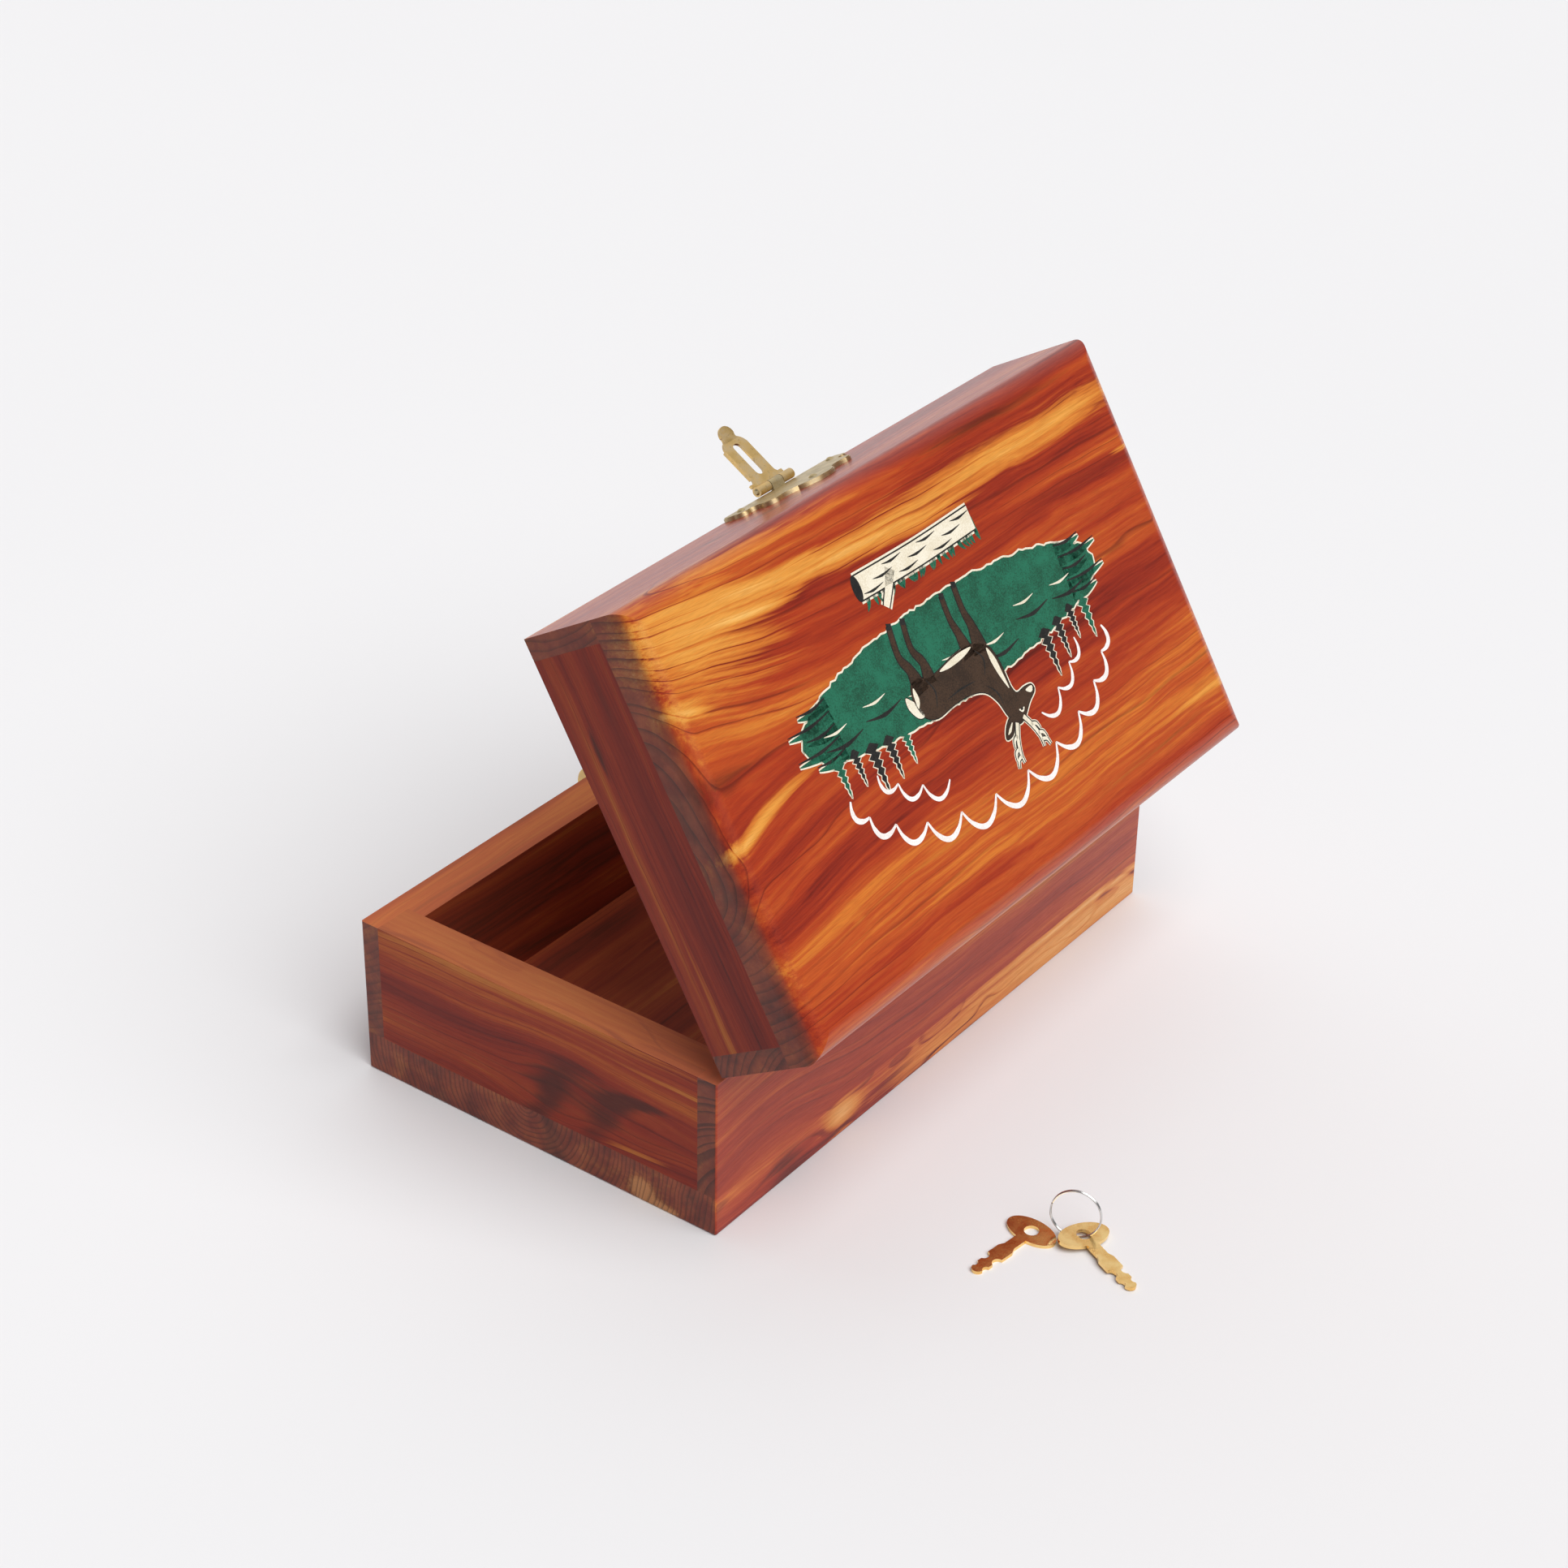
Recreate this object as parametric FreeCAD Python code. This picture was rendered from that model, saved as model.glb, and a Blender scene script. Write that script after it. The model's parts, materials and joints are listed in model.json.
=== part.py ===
import FreeCAD, Part
import math
import os

from FreeCAD import Vector

# A hinged keepsake box in red cedar: a base and a shallower lid, each of four
# rabbeted walls and one full-size board, with two butt hinges, a brass hasp
# with a turning eye, and the two loose keys of its padlock on the surface
# beside it. Millimetres. X is the length, the hasp is on the -Y side, and Z is up.
# The origin is the middle of the underside. The lid and the hasp are drawn
# shut and then turned to the angles at which they stand.

# --- driving dimensions -------------------------------------------------
BOX_LENGTH = 215.9
BOX_WIDTH = 127.0
BASE_HEIGHT = 50.8
LID_HEIGHT = 38.1
BOARD = 12.7
LIP = 6.35
TOP_ROUND = 6.35
EDGE_ROUND = 0.7

LID_OPEN_ANGLE = 59.5
FLAP_SWING = 62.0

HINGE_X = 65.0
HINGE_LENGTH = 25.0
LEAF_THICKNESS = 0.75
LEAF_DEPTH = 10.0
HINGE_BARREL_R = 1.9
HINGE_PIN_R = 0.75
RIM_GAP = 1.6

HASP_BARREL_R = 1.5
HASP_BARREL_HALF = 7.8
HASP_PIN_R = 0.6
HASP_AXIS_OUT = 2.8
FLAP_LENGTH = 22.0
FLAP_HALF = 4.85
FLAP_SHEET = 0.8
SLOT_WIDTH = 3.0
SLOT_START = 4.3
SLOT_END = 15.8
PLATE_SHEET = 0.7
PLATE_RISE = 1.2
PLATE_STEP = 0.3
STAPLE_SHEET = 0.5

PRINT_FILM = 0.05
CLOUD_HALF = 62.0
CLOUD_LOW = 7.0
CLOUD_RISE = 26.0
CLOUD_COUNT = 11
CLOUD_FROM = 8.0
CLOUD_LINE = 1.5
CLOUD_BULGE = 0.42
CLOUD_GAP = 0.04
MEADOW_HALF = 70.0

KEY_THICKNESS = 1.0
KEY_BOW_HALF = 7.95
KEY_BOW_DEPTH = 4.6
KEY_HOLE_R = 2.1
KEY_1_AT = (54.2, 130.6, 0)
KEY_1_TURN = -7.6
KEY_2_AT = (48.3, 143.4, 1.3)
KEY_2_TURN = 66.4
KEY_2_ROLL = -5.0
KEY_2_DIP = 2.7
RING_LEAN = 84.0
RING_R = 7.05
RING_WIRE_WIDE = 1.0
RING_WIRE_HIGH = 0.5

RUNNING_GAP = 0.07
SIDE_GAP = 0.2

# --- derived places -----------------------------------------------------
HALF_L = BOX_LENGTH / 2
HALF_W = BOX_WIDTH / 2
LID_RIM = BASE_HEIGHT + RIM_GAP
LID_TOP = LID_RIM + LID_HEIGHT
HINGE_Y = HALF_W + 2.4
HINGE_Z = BASE_HEIGHT + RIM_GAP / 2
HASP_AXIS_Y = -HALF_W - HASP_AXIS_OUT
HASP_AXIS_Z = LID_RIM + 0.1
EYE_Z = HASP_AXIS_Z - (SLOT_START + SLOT_END) / 2
X = Vector(1, 0, 0)
Y = Vector(0, 1, 0)
Z = Vector(0, 0, 1)


# --- small tools --------------------------------------------------------
def box(x0, x1, y0, y1, z0, z1):
    return Part.makeBox(x1 - x0, y1 - y0, z1 - z0, Vector(x0, y0, z0))


def cylinder(radius, start, direction, length):
    return Part.makeCylinder(radius, length, start, direction)


def cone(r0, r1, start, direction, length):
    return Part.makeCone(r0, r1, length, start, direction)


def group(solids):
    return Part.makeCompound(solids)


def turned_with_lid(shape):
    """Turn a shape drawn with the lid shut to where the open lid has it."""
    return shape.rotated(Vector(0, HINGE_Y, HINGE_Z), X, -LID_OPEN_ANGLE)


def swung_with_flap(shape):
    """Swing a shape drawn with the flap hanging down out to its resting angle."""
    return shape.rotated(Vector(0, HASP_AXIS_Y, HASP_AXIS_Z), X, -FLAP_SWING)


def outline_face(steps, place):
    """Face from steps of (end) for a line or (via, end) for an arc, placed in 3-D."""
    edges = []
    at = steps[0][-1]
    for step in steps[1:]:
        if len(step) == 1:
            edges.append(Part.LineSegment(place(at), place(step[0])).toShape())
        else:
            edges.append(Part.Arc(place(at), place(step[0]), place(step[1])).toShape())
        at = step[-1]
    return Part.Face(Part.Wire(edges))


def mirrored(half):
    """Close a half outline that runs from one point of the middle line to another."""
    back = []
    for index in range(len(half) - 1, 0, -1):
        before = half[index - 1][-1]
        step = half[index]
        end = (-before[0], before[1])
        if len(step) == 1:
            back.append((end,))
        else:
            back.append(((-step[0][0], step[0][1]), end))
    return half + back


def on_front(out, base_z):
    """Place outline points (across, up) on a plane in front of the front faces."""
    return lambda p: Vector(p[0], -HALF_W - out, base_z + p[1])


# --- boards -------------------------------------------------------------
def envelope(z0, z1, round_top):
    """Outer shape of the base or the lid, sanded after gluing."""
    shape = box(-HALF_L, HALF_L, -HALF_W, HALF_W, z0, z1)
    upright = []
    flat = []
    level = z1 if round_top else z0
    for edge in shape.Edges:
        zs = [v.Point.z for v in edge.Vertexes]
        if abs(zs[0] - zs[1]) > 1:
            upright.append(edge)
        elif abs(zs[0] - level) < 0.01:
            flat.append(edge)
    if round_top:
        return shape.makeFillet(TOP_ROUND, flat)
    return shape.makeFillet(EDGE_ROUND, upright + flat)


def long_wall(side, z0, z1):
    """Front (-1) or back (+1) wall, rabbeted at both ends to take the end walls."""
    outer = side * HALF_W
    inner = side * (HALF_W - BOARD)
    wall = box(-HALF_L, HALF_L, min(outer, inner), max(outer, inner), z0, z1)
    lip = side * (HALF_W - LIP)
    for end in (-1, 1):
        x_end = end * HALF_L
        x_in = end * (HALF_L - BOARD)
        wall = wall.cut(box(min(x_end, x_in), max(x_end, x_in),
                            min(inner, lip), max(inner, lip), z0, z1))
    return wall


def end_wall(side, z0, z1):
    """Left (-1) or right (+1) end wall, seated in the rabbets."""
    outer = side * HALF_L
    inner = side * (HALF_L - BOARD)
    return box(min(outer, inner), max(outer, inner), -HALF_W + LIP, HALF_W - LIP, z0, z1)


def full_board(z0, z1):
    return box(-HALF_L, HALF_L, -HALF_W, HALF_W, z0, z1)


# --- hinges -------------------------------------------------------------
def knuckle_spans():
    """X spans of the outer, middle and outer knuckles about the hinge's middle."""
    third = (HINGE_LENGTH - 2 * SIDE_GAP) / 3
    outer = HINGE_LENGTH / 2
    return [(-outer, -outer + third), (-third / 2, third / 2), (outer - third, outer)]


def hinge_leaf(x, spans, z0, z1, bore):
    """Leaf plate lying on a rim, with the knuckles rolled at the back."""
    half = HINGE_LENGTH / 2
    edge = HINGE_Y - HINGE_BARREL_R - 0.1
    leaf = box(x - half, x + half, edge - LEAF_DEPTH, edge, z0, z1)
    for start, end in spans:
        leaf = leaf.fuse(box(x + start, x + end, edge, HINGE_Y, z0, z1))
        leaf = leaf.fuse(cylinder(HINGE_BARREL_R, Vector(x + start, HINGE_Y, HINGE_Z), X, end - start))
    leaf = leaf.cut(cylinder(bore, Vector(x - half, HINGE_Y, HINGE_Z), X, HINGE_LENGTH))
    return leaf.removeSplitter()


def leaf_screw(x, level, direction):
    """Countersunk wood screw with its head flush with the leaf's free face."""
    y = HINGE_Y - HINGE_BARREL_R - LEAF_DEPTH / 2 - 0.1
    shank_r, head_r, length = 1.0, 1.7, 9.0
    down = Vector(0, 0, direction)
    start = Vector(x, y, level)
    head = cone(head_r, shank_r, start, down, LEAF_THICKNESS)
    shank = cylinder(shank_r, start + down * LEAF_THICKNESS, down, length - LEAF_THICKNESS - 1.5)
    tip = cone(shank_r, 0.2, start + down * (length - 1.5), down, 1.5)
    slot = box(x - head_r, x + head_r, y - 0.25, y + 0.25, level - 0.3, level + 0.3)
    return head.fuse(shank).fuse(tip).cut(slot).removeSplitter()


def leaf_screws(level, direction):
    return [leaf_screw(side * HINGE_X + dx, level, direction)
            for side in (-1, 1) for dx in (-8.0, 8.0)]


def hinge_pin(x):
    """Pin with two low domed ends, held in the base leaf's knuckles."""
    half = HINGE_LENGTH / 2
    pin = cylinder(HINGE_PIN_R, Vector(x - half, HINGE_Y, HINGE_Z), X, HINGE_LENGTH)
    for side in (-1, 1):
        cap = cone(1.25, 0.8, Vector(x + side * half, HINGE_Y, HINGE_Z), X * side, 0.5)
        pin = pin.fuse(cap)
    return pin.removeSplitter()


# --- hasp ---------------------------------------------------------------
def hasp_plate_outline():
    """Bat-wing outline: wing tips at the rim, shoulders, and a lobe in the middle."""
    return mirrored([
        ((0, 0.3),), ((24.3, 0.3),),
        ((25.1, 1.7), (24.7, 4.8)),
        ((24.2, 7.2), (22.0, 8.1)),
        ((19.7, 8.4), (18.9, 9.9)),
        ((18.6, 13.4), (15.4, 14.6)),
        ((11.3, 14.2), (8.0, 15.5)),
        ((4.7, 18.6), (0, 19.5)),
    ])


PLATE_NAILS = [(-20.5, 4.0), (20.5, 4.0), (0, 14.6)]
STAPLE_NAILS = [(-9.6, -3.6), (9.6, -3.6), (-8.4, 3.6), (8.4, 3.6)]


def escutcheon_nail(x, z, out):
    """Round-headed brass nail driven through a plate whose face is this far out."""
    head_r, shank_r, length = 1.35, 0.6, 8.0
    face = Vector(x, -HALF_W - out, z)
    shank = cylinder(shank_r, face, Y, length)
    ball_r = 1.6
    sink = math.sqrt(ball_r ** 2 - head_r ** 2)
    ball = Part.makeSphere(ball_r, face + Y * sink)
    head = ball.common(box(x - 2, x + 2, face.y - 2, face.y, z - 2, z + 2))
    return shank.fuse(head).removeSplitter()


def plate_nails():
    return [escutcheon_nail(x, LID_RIM + z, PLATE_RISE) for x, z in PLATE_NAILS]


def staple_nails():
    return [escutcheon_nail(x, EYE_Z + z, STAPLE_SHEET) for x, z in STAPLE_NAILS]


def hasp_plate():
    """Pressed plate: a raised field with its edges turned down on to the wood."""
    face = outline_face(hasp_plate_outline(), on_front(0, LID_RIM))
    plate = face.extrude(Vector(0, PLATE_STEP - PLATE_RISE, 0))
    plate = plate.fuse(face.makeOffset2D(-PLATE_STEP).extrude(Vector(0, -PLATE_RISE, 0)))
    hollow = face.makeOffset2D(-PLATE_SHEET).extrude(Vector(0, PLATE_SHEET - PLATE_RISE, 0))
    plate = plate.cut(hollow)
    middle = (HASP_BARREL_HALF * 2 - 2 * SIDE_GAP) / 6
    tab = box(-middle, middle, HASP_AXIS_Y, -HALF_W - 0.6, HASP_AXIS_Z + 0.4, HASP_AXIS_Z + 1.5)
    knuckle = cylinder(HASP_BARREL_R, Vector(-middle, HASP_AXIS_Y, HASP_AXIS_Z), X, 2 * middle)
    plate = plate.fuse(tab).fuse(knuckle)
    plate = plate.cut(cylinder(HASP_PIN_R, Vector(-middle, HASP_AXIS_Y, HASP_AXIS_Z), X, 2 * middle))
    for x, z in PLATE_NAILS:
        plate = plate.cut(cylinder(0.6, Vector(x, -HALF_W - 2, LID_RIM + z), Y, 3))
    return plate.removeSplitter()


def hasp_pin():
    half = HASP_BARREL_HALF
    start = Vector(-half, HASP_AXIS_Y, HASP_AXIS_Z)
    pin = cylinder(HASP_PIN_R, start, X, 2 * half)
    for side in (-1, 1):
        pin = pin.fuse(cone(0.95, 0.5, Vector(side * half, HASP_AXIS_Y, HASP_AXIS_Z), X * side, 0.4))
    return pin.removeSplitter()


def hasp_flap():
    """Slotted flap with side flanges and an upturned thumb tip, drawn hanging down."""
    back = HASP_AXIS_OUT - HASP_BARREL_R
    front = back + FLAP_SHEET
    shoulder = 16.0
    tip_r = 2.8
    bend = 17.6
    reach = FLAP_LENGTH - tip_r
    sheet_out = Vector(0, -FLAP_SHEET, 0)
    place = on_front(back, HASP_AXIS_Z)
    body = outline_face(mirrored([
        ((0, -1.8),), ((6.2, -1.8),), ((6.2, -2.6),),
        ((5.2, -3.2), (FLAP_HALF, -4.4)),
        ((FLAP_HALF, -shoulder + 1.5),),
        ((4.3, -shoulder - 0.3), (3.0, -bend),), ((0, -bend),),
    ]), place).extrude(sheet_out)
    tip = outline_face(mirrored([
        ((0, -bend + 0.4),), ((3.0, -bend + 0.4),), ((2.9, -bend),),
        ((2.6, -bend - 0.7), (tip_r, -reach)),
        ((tip_r * 0.707, -reach - tip_r * 0.707), (0, -FLAP_LENGTH)),
    ]), place).extrude(sheet_out)
    tip = tip.rotated(Vector(0, -HALF_W - back, HASP_AXIS_Z - bend + 0.4), X, -14)
    flap = body.fuse(tip)
    inner = (HASP_BARREL_HALF * 2 - 2 * SIDE_GAP) / 6 + SIDE_GAP
    for side in (-1, 1):
        # the knuckle, the strip that rolls into it, the side flange and the small ear
        x0 = side * inner
        x1 = side * HASP_BARREL_HALF
        flap = flap.fuse(cylinder(HASP_BARREL_R, Vector(min(x0, x1), HASP_AXIS_Y, HASP_AXIS_Z),
                                  X, abs(x1 - x0)))
        x1 = side * 6.2
        flap = flap.fuse(box(min(x0, x1), max(x0, x1), -HALF_W - front, -HALF_W - back,
                             HASP_AXIS_Z - 2.0, HASP_AXIS_Z))
        x0 = side * (FLAP_HALF - 0.6)
        x1 = side * FLAP_HALF
        flap = flap.fuse(box(min(x0, x1), max(x0, x1), -HALF_W - front, -HALF_W - 0.7,
                             HASP_AXIS_Z - shoulder + 0.8, HASP_AXIS_Z - 4.4))
        x0 = side * 6.0
        x1 = side * 7.2
        flap = flap.fuse(box(min(x0, x1), max(x0, x1), -HALF_W - front + 0.1, -HALF_W - back - 0.1,
                             HASP_AXIS_Z - 2.9, HASP_AXIS_Z - 1.9))
    slot_r = SLOT_WIDTH / 2
    through = Y * 4
    top = Vector(0, -HALF_W - 4, HASP_AXIS_Z - SLOT_START - slot_r)
    end = Vector(0, -HALF_W - 4, HASP_AXIS_Z - SLOT_END + slot_r)
    flap = flap.cut(cylinder(slot_r, top, through, 4)).cut(cylinder(slot_r, end, through, 4))
    flap = flap.cut(box(-slot_r, slot_r, -HALF_W - 4, -HALF_W, end.z, top.z))
    bore = HASP_PIN_R + RUNNING_GAP
    flap = flap.cut(cylinder(bore, Vector(-HASP_BARREL_HALF, HASP_AXIS_Y, HASP_AXIS_Z),
                             X, 2 * HASP_BARREL_HALF))
    return flap.removeSplitter()


# --- turning eye on the base ---------------------------------------------
EYE_NECK_R = 1.1
EYE_THICKNESS = 2.3
EYE_HALF_WIDE = 5.2
EYE_HALF_OUT = 3.7
EYE_OUT = 6.1
EYE_HOLE_R = 2.0
RIVET_HEAD_R = 2.1


def staple_plate():
    """Small flat shield with a lobed outline that carries the turning eye."""
    face = outline_face(mirrored([
        ((0, 7.4),), ((10.5, 7.4),),
        ((12.6, 5.4), (11.4, 2.4)),
        ((10.2, 0.6), (11.8, -1.2)),
        ((13.4, -3.8), (11.2, -6.2)),
        ((7.4, -6.2), (5.2, -8.0)),
        ((3.2, -10.6), (0, -11.2)),
    ]), on_front(0, EYE_Z))
    plate = face.extrude(Vector(0, -STAPLE_SHEET, 0))
    centre = Vector(0, -HALF_W - 2, EYE_Z)
    plate = plate.cut(cylinder(EYE_NECK_R + RUNNING_GAP, centre, Y, 3))
    for x, z in STAPLE_NAILS:
        plate = plate.cut(cylinder(0.6, Vector(x, -HALF_W - 2, EYE_Z + z), Y, 3))
    return plate


def flat_eye():
    """Oval eye with a round hole, standing upright in front of the base."""
    ring = Part.Ellipse(Vector(0, 0, 0), EYE_HALF_WIDE, EYE_HALF_OUT).toShape()
    eye = Part.Face(Part.Wire([ring])).extrude(Vector(0, 0, EYE_THICKNESS))
    eye = eye.makeFillet(0.6, [e for e in eye.Edges if e.Length > 8])
    eye = eye.cut(cylinder(EYE_HOLE_R, Vector(0, 0, -1), Z, EYE_THICKNESS + 2))
    # the drawing's x runs up, its y runs outwards and its thickness runs across
    eye = eye.rotated(Vector(0, 0, 0), Y, -90)
    eye.translate(Vector(EYE_THICKNESS / 2, -HALF_W - EYE_OUT, EYE_Z))
    return eye


def turning_eye():
    """The eye on its round neck, riveted over behind its plate so that it turns."""
    eye = flat_eye()
    neck_end = -HALF_W + 0.1
    start = Vector(0, -HALF_W - EYE_OUT + EYE_HOLE_R + 0.6, EYE_Z)
    eye = eye.fuse(cylinder(EYE_NECK_R, start, Y, neck_end - start.y))
    eye = eye.fuse(cylinder(RIVET_HEAD_R, Vector(0, neck_end, EYE_Z), Y, 0.7))
    return eye.removeSplitter()


def rivet_recess():
    """Blind hole in the front wall that clears the eye's riveted end."""
    return cylinder(RIVET_HEAD_R + 0.5, Vector(0, -HALF_W - 1, EYE_Z), Y, 3.2)


# --- print on the lid ---------------------------------------------------
def cloud_point(angle):
    """A place on the arch that the clouds follow, at an angle in degrees from the right."""
    turn = math.radians(angle)
    return Vector(CLOUD_HALF * math.cos(turn), CLOUD_LOW + CLOUD_RISE * math.sin(turn), LID_TOP)


def cloud_scallops():
    """Evenly set crescents along the arch, each bulging outward and short of the next."""
    pace = (180 - 2 * CLOUD_FROM) / CLOUD_COUNT
    scallops = []
    for index in range(CLOUD_COUNT):
        angle = CLOUD_FROM + pace * index
        start = cloud_point(angle + CLOUD_GAP * pace)
        end = cloud_point(angle + (1 - CLOUD_GAP) * pace)
        chord = end - start
        away = Vector(chord.y, -chord.x, 0).normalize()
        crown = (start + end) * 0.5 + away * chord.Length * CLOUD_BULGE
        inner = crown - away * CLOUD_LINE
        edges = [Part.Arc(start, crown, end).toShape(), Part.Arc(end, inner, start).toShape()]
        scallops.append(Part.Face(Part.Wire(edges)).extrude(Z * PRINT_FILM))
    return scallops


def lid_print():
    """Printed film on the lid: a patch of meadow under an arch of cloud scallops."""
    place = lambda p: Vector(p[0] * MEADOW_HALF, p[1], LID_TOP)
    meadow = outline_face([
        ((-1, -8),), ((-0.8, 0), (-0.5, 3)), ((0, 6), (0.5, 3)), ((0.8, 0), (1, -8)),
        ((0.8, -17), (0.5, -21)), ((0, -24), (-0.5, -21)), ((-0.8, -17), (-1, -8)),
    ], place).extrude(Z * PRINT_FILM)
    return group([meadow] + cloud_scallops())


# --- keys ---------------------------------------------------------------
def flat_key():
    """Small warded key drawn flat: hole at the origin, blade along +X."""
    neck = 1.7
    blade = outline_face([
        ((3.0, neck),), ((9.2, neck),), ((10.9, 2.5),), ((15.2, 2.5),),
        ((16.9, 0.9), (18.4, 2.0)), ((20.0, 2.0),), ((21.1, 1.1), (22.2, 1.7)),
        ((23.9, 0), (22.2, -1.7)), ((21.1, -1.1), (20.0, -2.0)), ((18.4, -2.0),),
        ((16.9, -0.9), (15.2, -2.5)), ((10.9, -2.5),), ((9.2, -neck),), ((3.0, -neck),),
        ((3.0, neck),),
    ], lambda p: Vector(p[0], p[1], 0)).extrude(Z * KEY_THICKNESS)
    oval = Part.Ellipse(Vector(0, 0, 0), KEY_BOW_HALF, KEY_BOW_DEPTH).toShape()
    bow = Part.Face(Part.Wire([oval])).extrude(Z * KEY_THICKNESS)
    bow = bow.rotated(Vector(0, 0, 0), Z, 90)
    key = bow.fuse(blade).cut(cylinder(KEY_HOLE_R, Vector(0, 0, -1), Z, KEY_THICKNESS + 2))
    return key.removeSplitter()


def key_1():
    key = flat_key().rotated(Vector(0, 0, 0), Z, KEY_1_TURN)
    key.translate(Vector(*KEY_1_AT))
    return key


def with_key_2(shape):
    """From the key's own drawing to where the second key lies, tipped on the ring."""
    origin = Vector(0, 0, 0)
    shape = shape.rotated(origin, X, KEY_2_ROLL).rotated(origin, Y, KEY_2_DIP)
    shape = shape.rotated(origin, Z, KEY_2_TURN)
    shape.translate(Vector(*KEY_2_AT))
    return shape


def key_ring():
    """Split ring through the second key's hole and out under the edge of its bow."""
    half = RING_WIRE_WIDE / 2
    core = half - RING_WIRE_HIGH / 2
    r_in = RING_R - RING_WIRE_HIGH / 2
    r_out = RING_R + RING_WIRE_HIGH / 2
    place = lambda p: Vector(p[0], 0, p[1])
    section = outline_face([
        ((r_in, -core),), ((RING_R, -half), (r_out, -core)), ((r_out, core),),
        ((RING_R, half), (r_in, core)), ((r_in, -core),),
    ], place)
    ring = section.revolve(Vector(0, 0, 0), Z, 360)
    inside = Vector(0.5, 0.4, KEY_THICKNESS / 2)
    outside = Vector(-5.4, -4.7, KEY_THICKNESS / 2)
    chord = outside - inside
    half_chord = chord.Length / 2
    along = Vector(chord).normalize()
    away = Vector(0, 0, 1).cross(along).normalize()
    if away.x > 0:
        away = away * -1
    lean = math.radians(RING_LEAN)
    rise = away * math.cos(lean) + Z * math.sin(lean)
    centre = (inside + outside) * 0.5 + rise * math.sqrt(RING_R ** 2 - half_chord ** 2)
    normal = along.cross(rise)
    if normal.z < 0:
        normal = normal * -1
    ring.Placement = FreeCAD.Placement(centre, FreeCAD.Rotation(Z, normal))
    return with_key_2(ring)


# --- assembly -----------------------------------------------------------
def base_nodes():
    wall_z = BOARD
    shell = envelope(0, BASE_HEIGHT, False)
    screws = group(leaf_screws(BASE_HEIGHT + LEAF_THICKNESS, -1))
    nails = group(staple_nails())
    nodes = {
        "base_front_wall": long_wall(-1, wall_z, BASE_HEIGHT).common(shell)
                           .cut(nails).cut(rivet_recess()),
        "base_back_wall": long_wall(1, wall_z, BASE_HEIGHT).common(shell).cut(screws),
        "base_left_end": end_wall(-1, wall_z, BASE_HEIGHT).common(shell),
        "base_right_end": end_wall(1, wall_z, BASE_HEIGHT).common(shell),
        "base_bottom_board": full_board(0, wall_z).common(shell),
        "hinge_base_screws": screws,
        "staple_plate": staple_plate(),
        "staple_plate_nails": nails,
        "turning_eye": turning_eye(),
    }
    outer = [knuckle_spans()[0], knuckle_spans()[2]]
    for name, side in (("left", -1), ("right", 1)):
        leaf = hinge_leaf(side * HINGE_X, outer, BASE_HEIGHT, BASE_HEIGHT + LEAF_THICKNESS, HINGE_PIN_R)
        nodes[name + "_hinge_base_leaf"] = leaf.cut(screws)
        nodes[name + "_hinge_pin"] = hinge_pin(side * HINGE_X)
    return nodes


def lid_nodes():
    board_z = LID_TOP - BOARD
    shell = envelope(LID_RIM, LID_TOP, True)
    screws = group(leaf_screws(LID_RIM - LEAF_THICKNESS, 1))
    nails = group(plate_nails())
    nodes = {
        "lid_front_wall": long_wall(-1, LID_RIM, board_z).common(shell).cut(nails),
        "lid_back_wall": long_wall(1, LID_RIM, board_z).common(shell).cut(screws),
        "lid_left_end": end_wall(-1, LID_RIM, board_z).common(shell),
        "lid_right_end": end_wall(1, LID_RIM, board_z).common(shell),
        "lid_top_board": full_board(board_z, LID_TOP).common(shell),
        "lid_print": lid_print(),
        "hinge_lid_screws": screws,
        "hasp_plate": hasp_plate(),
        "hasp_plate_nails": nails,
        "hasp_pin": hasp_pin(),
        "hasp_flap": swung_with_flap(hasp_flap()),
    }
    middle = [knuckle_spans()[1]]
    for name, side in (("left", -1), ("right", 1)):
        leaf = hinge_leaf(side * HINGE_X, middle, LID_RIM - LEAF_THICKNESS, LID_RIM,
                          HINGE_PIN_R + RUNNING_GAP)
        nodes[name + "_hinge_lid_leaf"] = leaf.cut(screws)
    return {name: turned_with_lid(shape) for name, shape in nodes.items()}


def loose_nodes():
    return {"key_1": key_1(), "key_2": with_key_2(flat_key()), "key_ring": key_ring()}


def main():
    os.makedirs("parts", exist_ok=True)
    nodes = {}
    nodes.update(base_nodes())
    nodes.update(lid_nodes())
    nodes.update(loose_nodes())
    for name, shape in nodes.items():
        bounds = shape.BoundBox
        print("%-24s %2d solids, valid %s, %8.1f mm3, z %.2f to %.2f"
              % (name, len(shape.Solids), shape.isValid(), shape.Volume, bounds.ZMin, bounds.ZMax))
        shape.exportStep("parts/%s.step" % name)


main()
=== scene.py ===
import json
import math
import random

import bmesh
import bpy
import mathutils.geometry
from mathutils import Matrix, Vector


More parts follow.
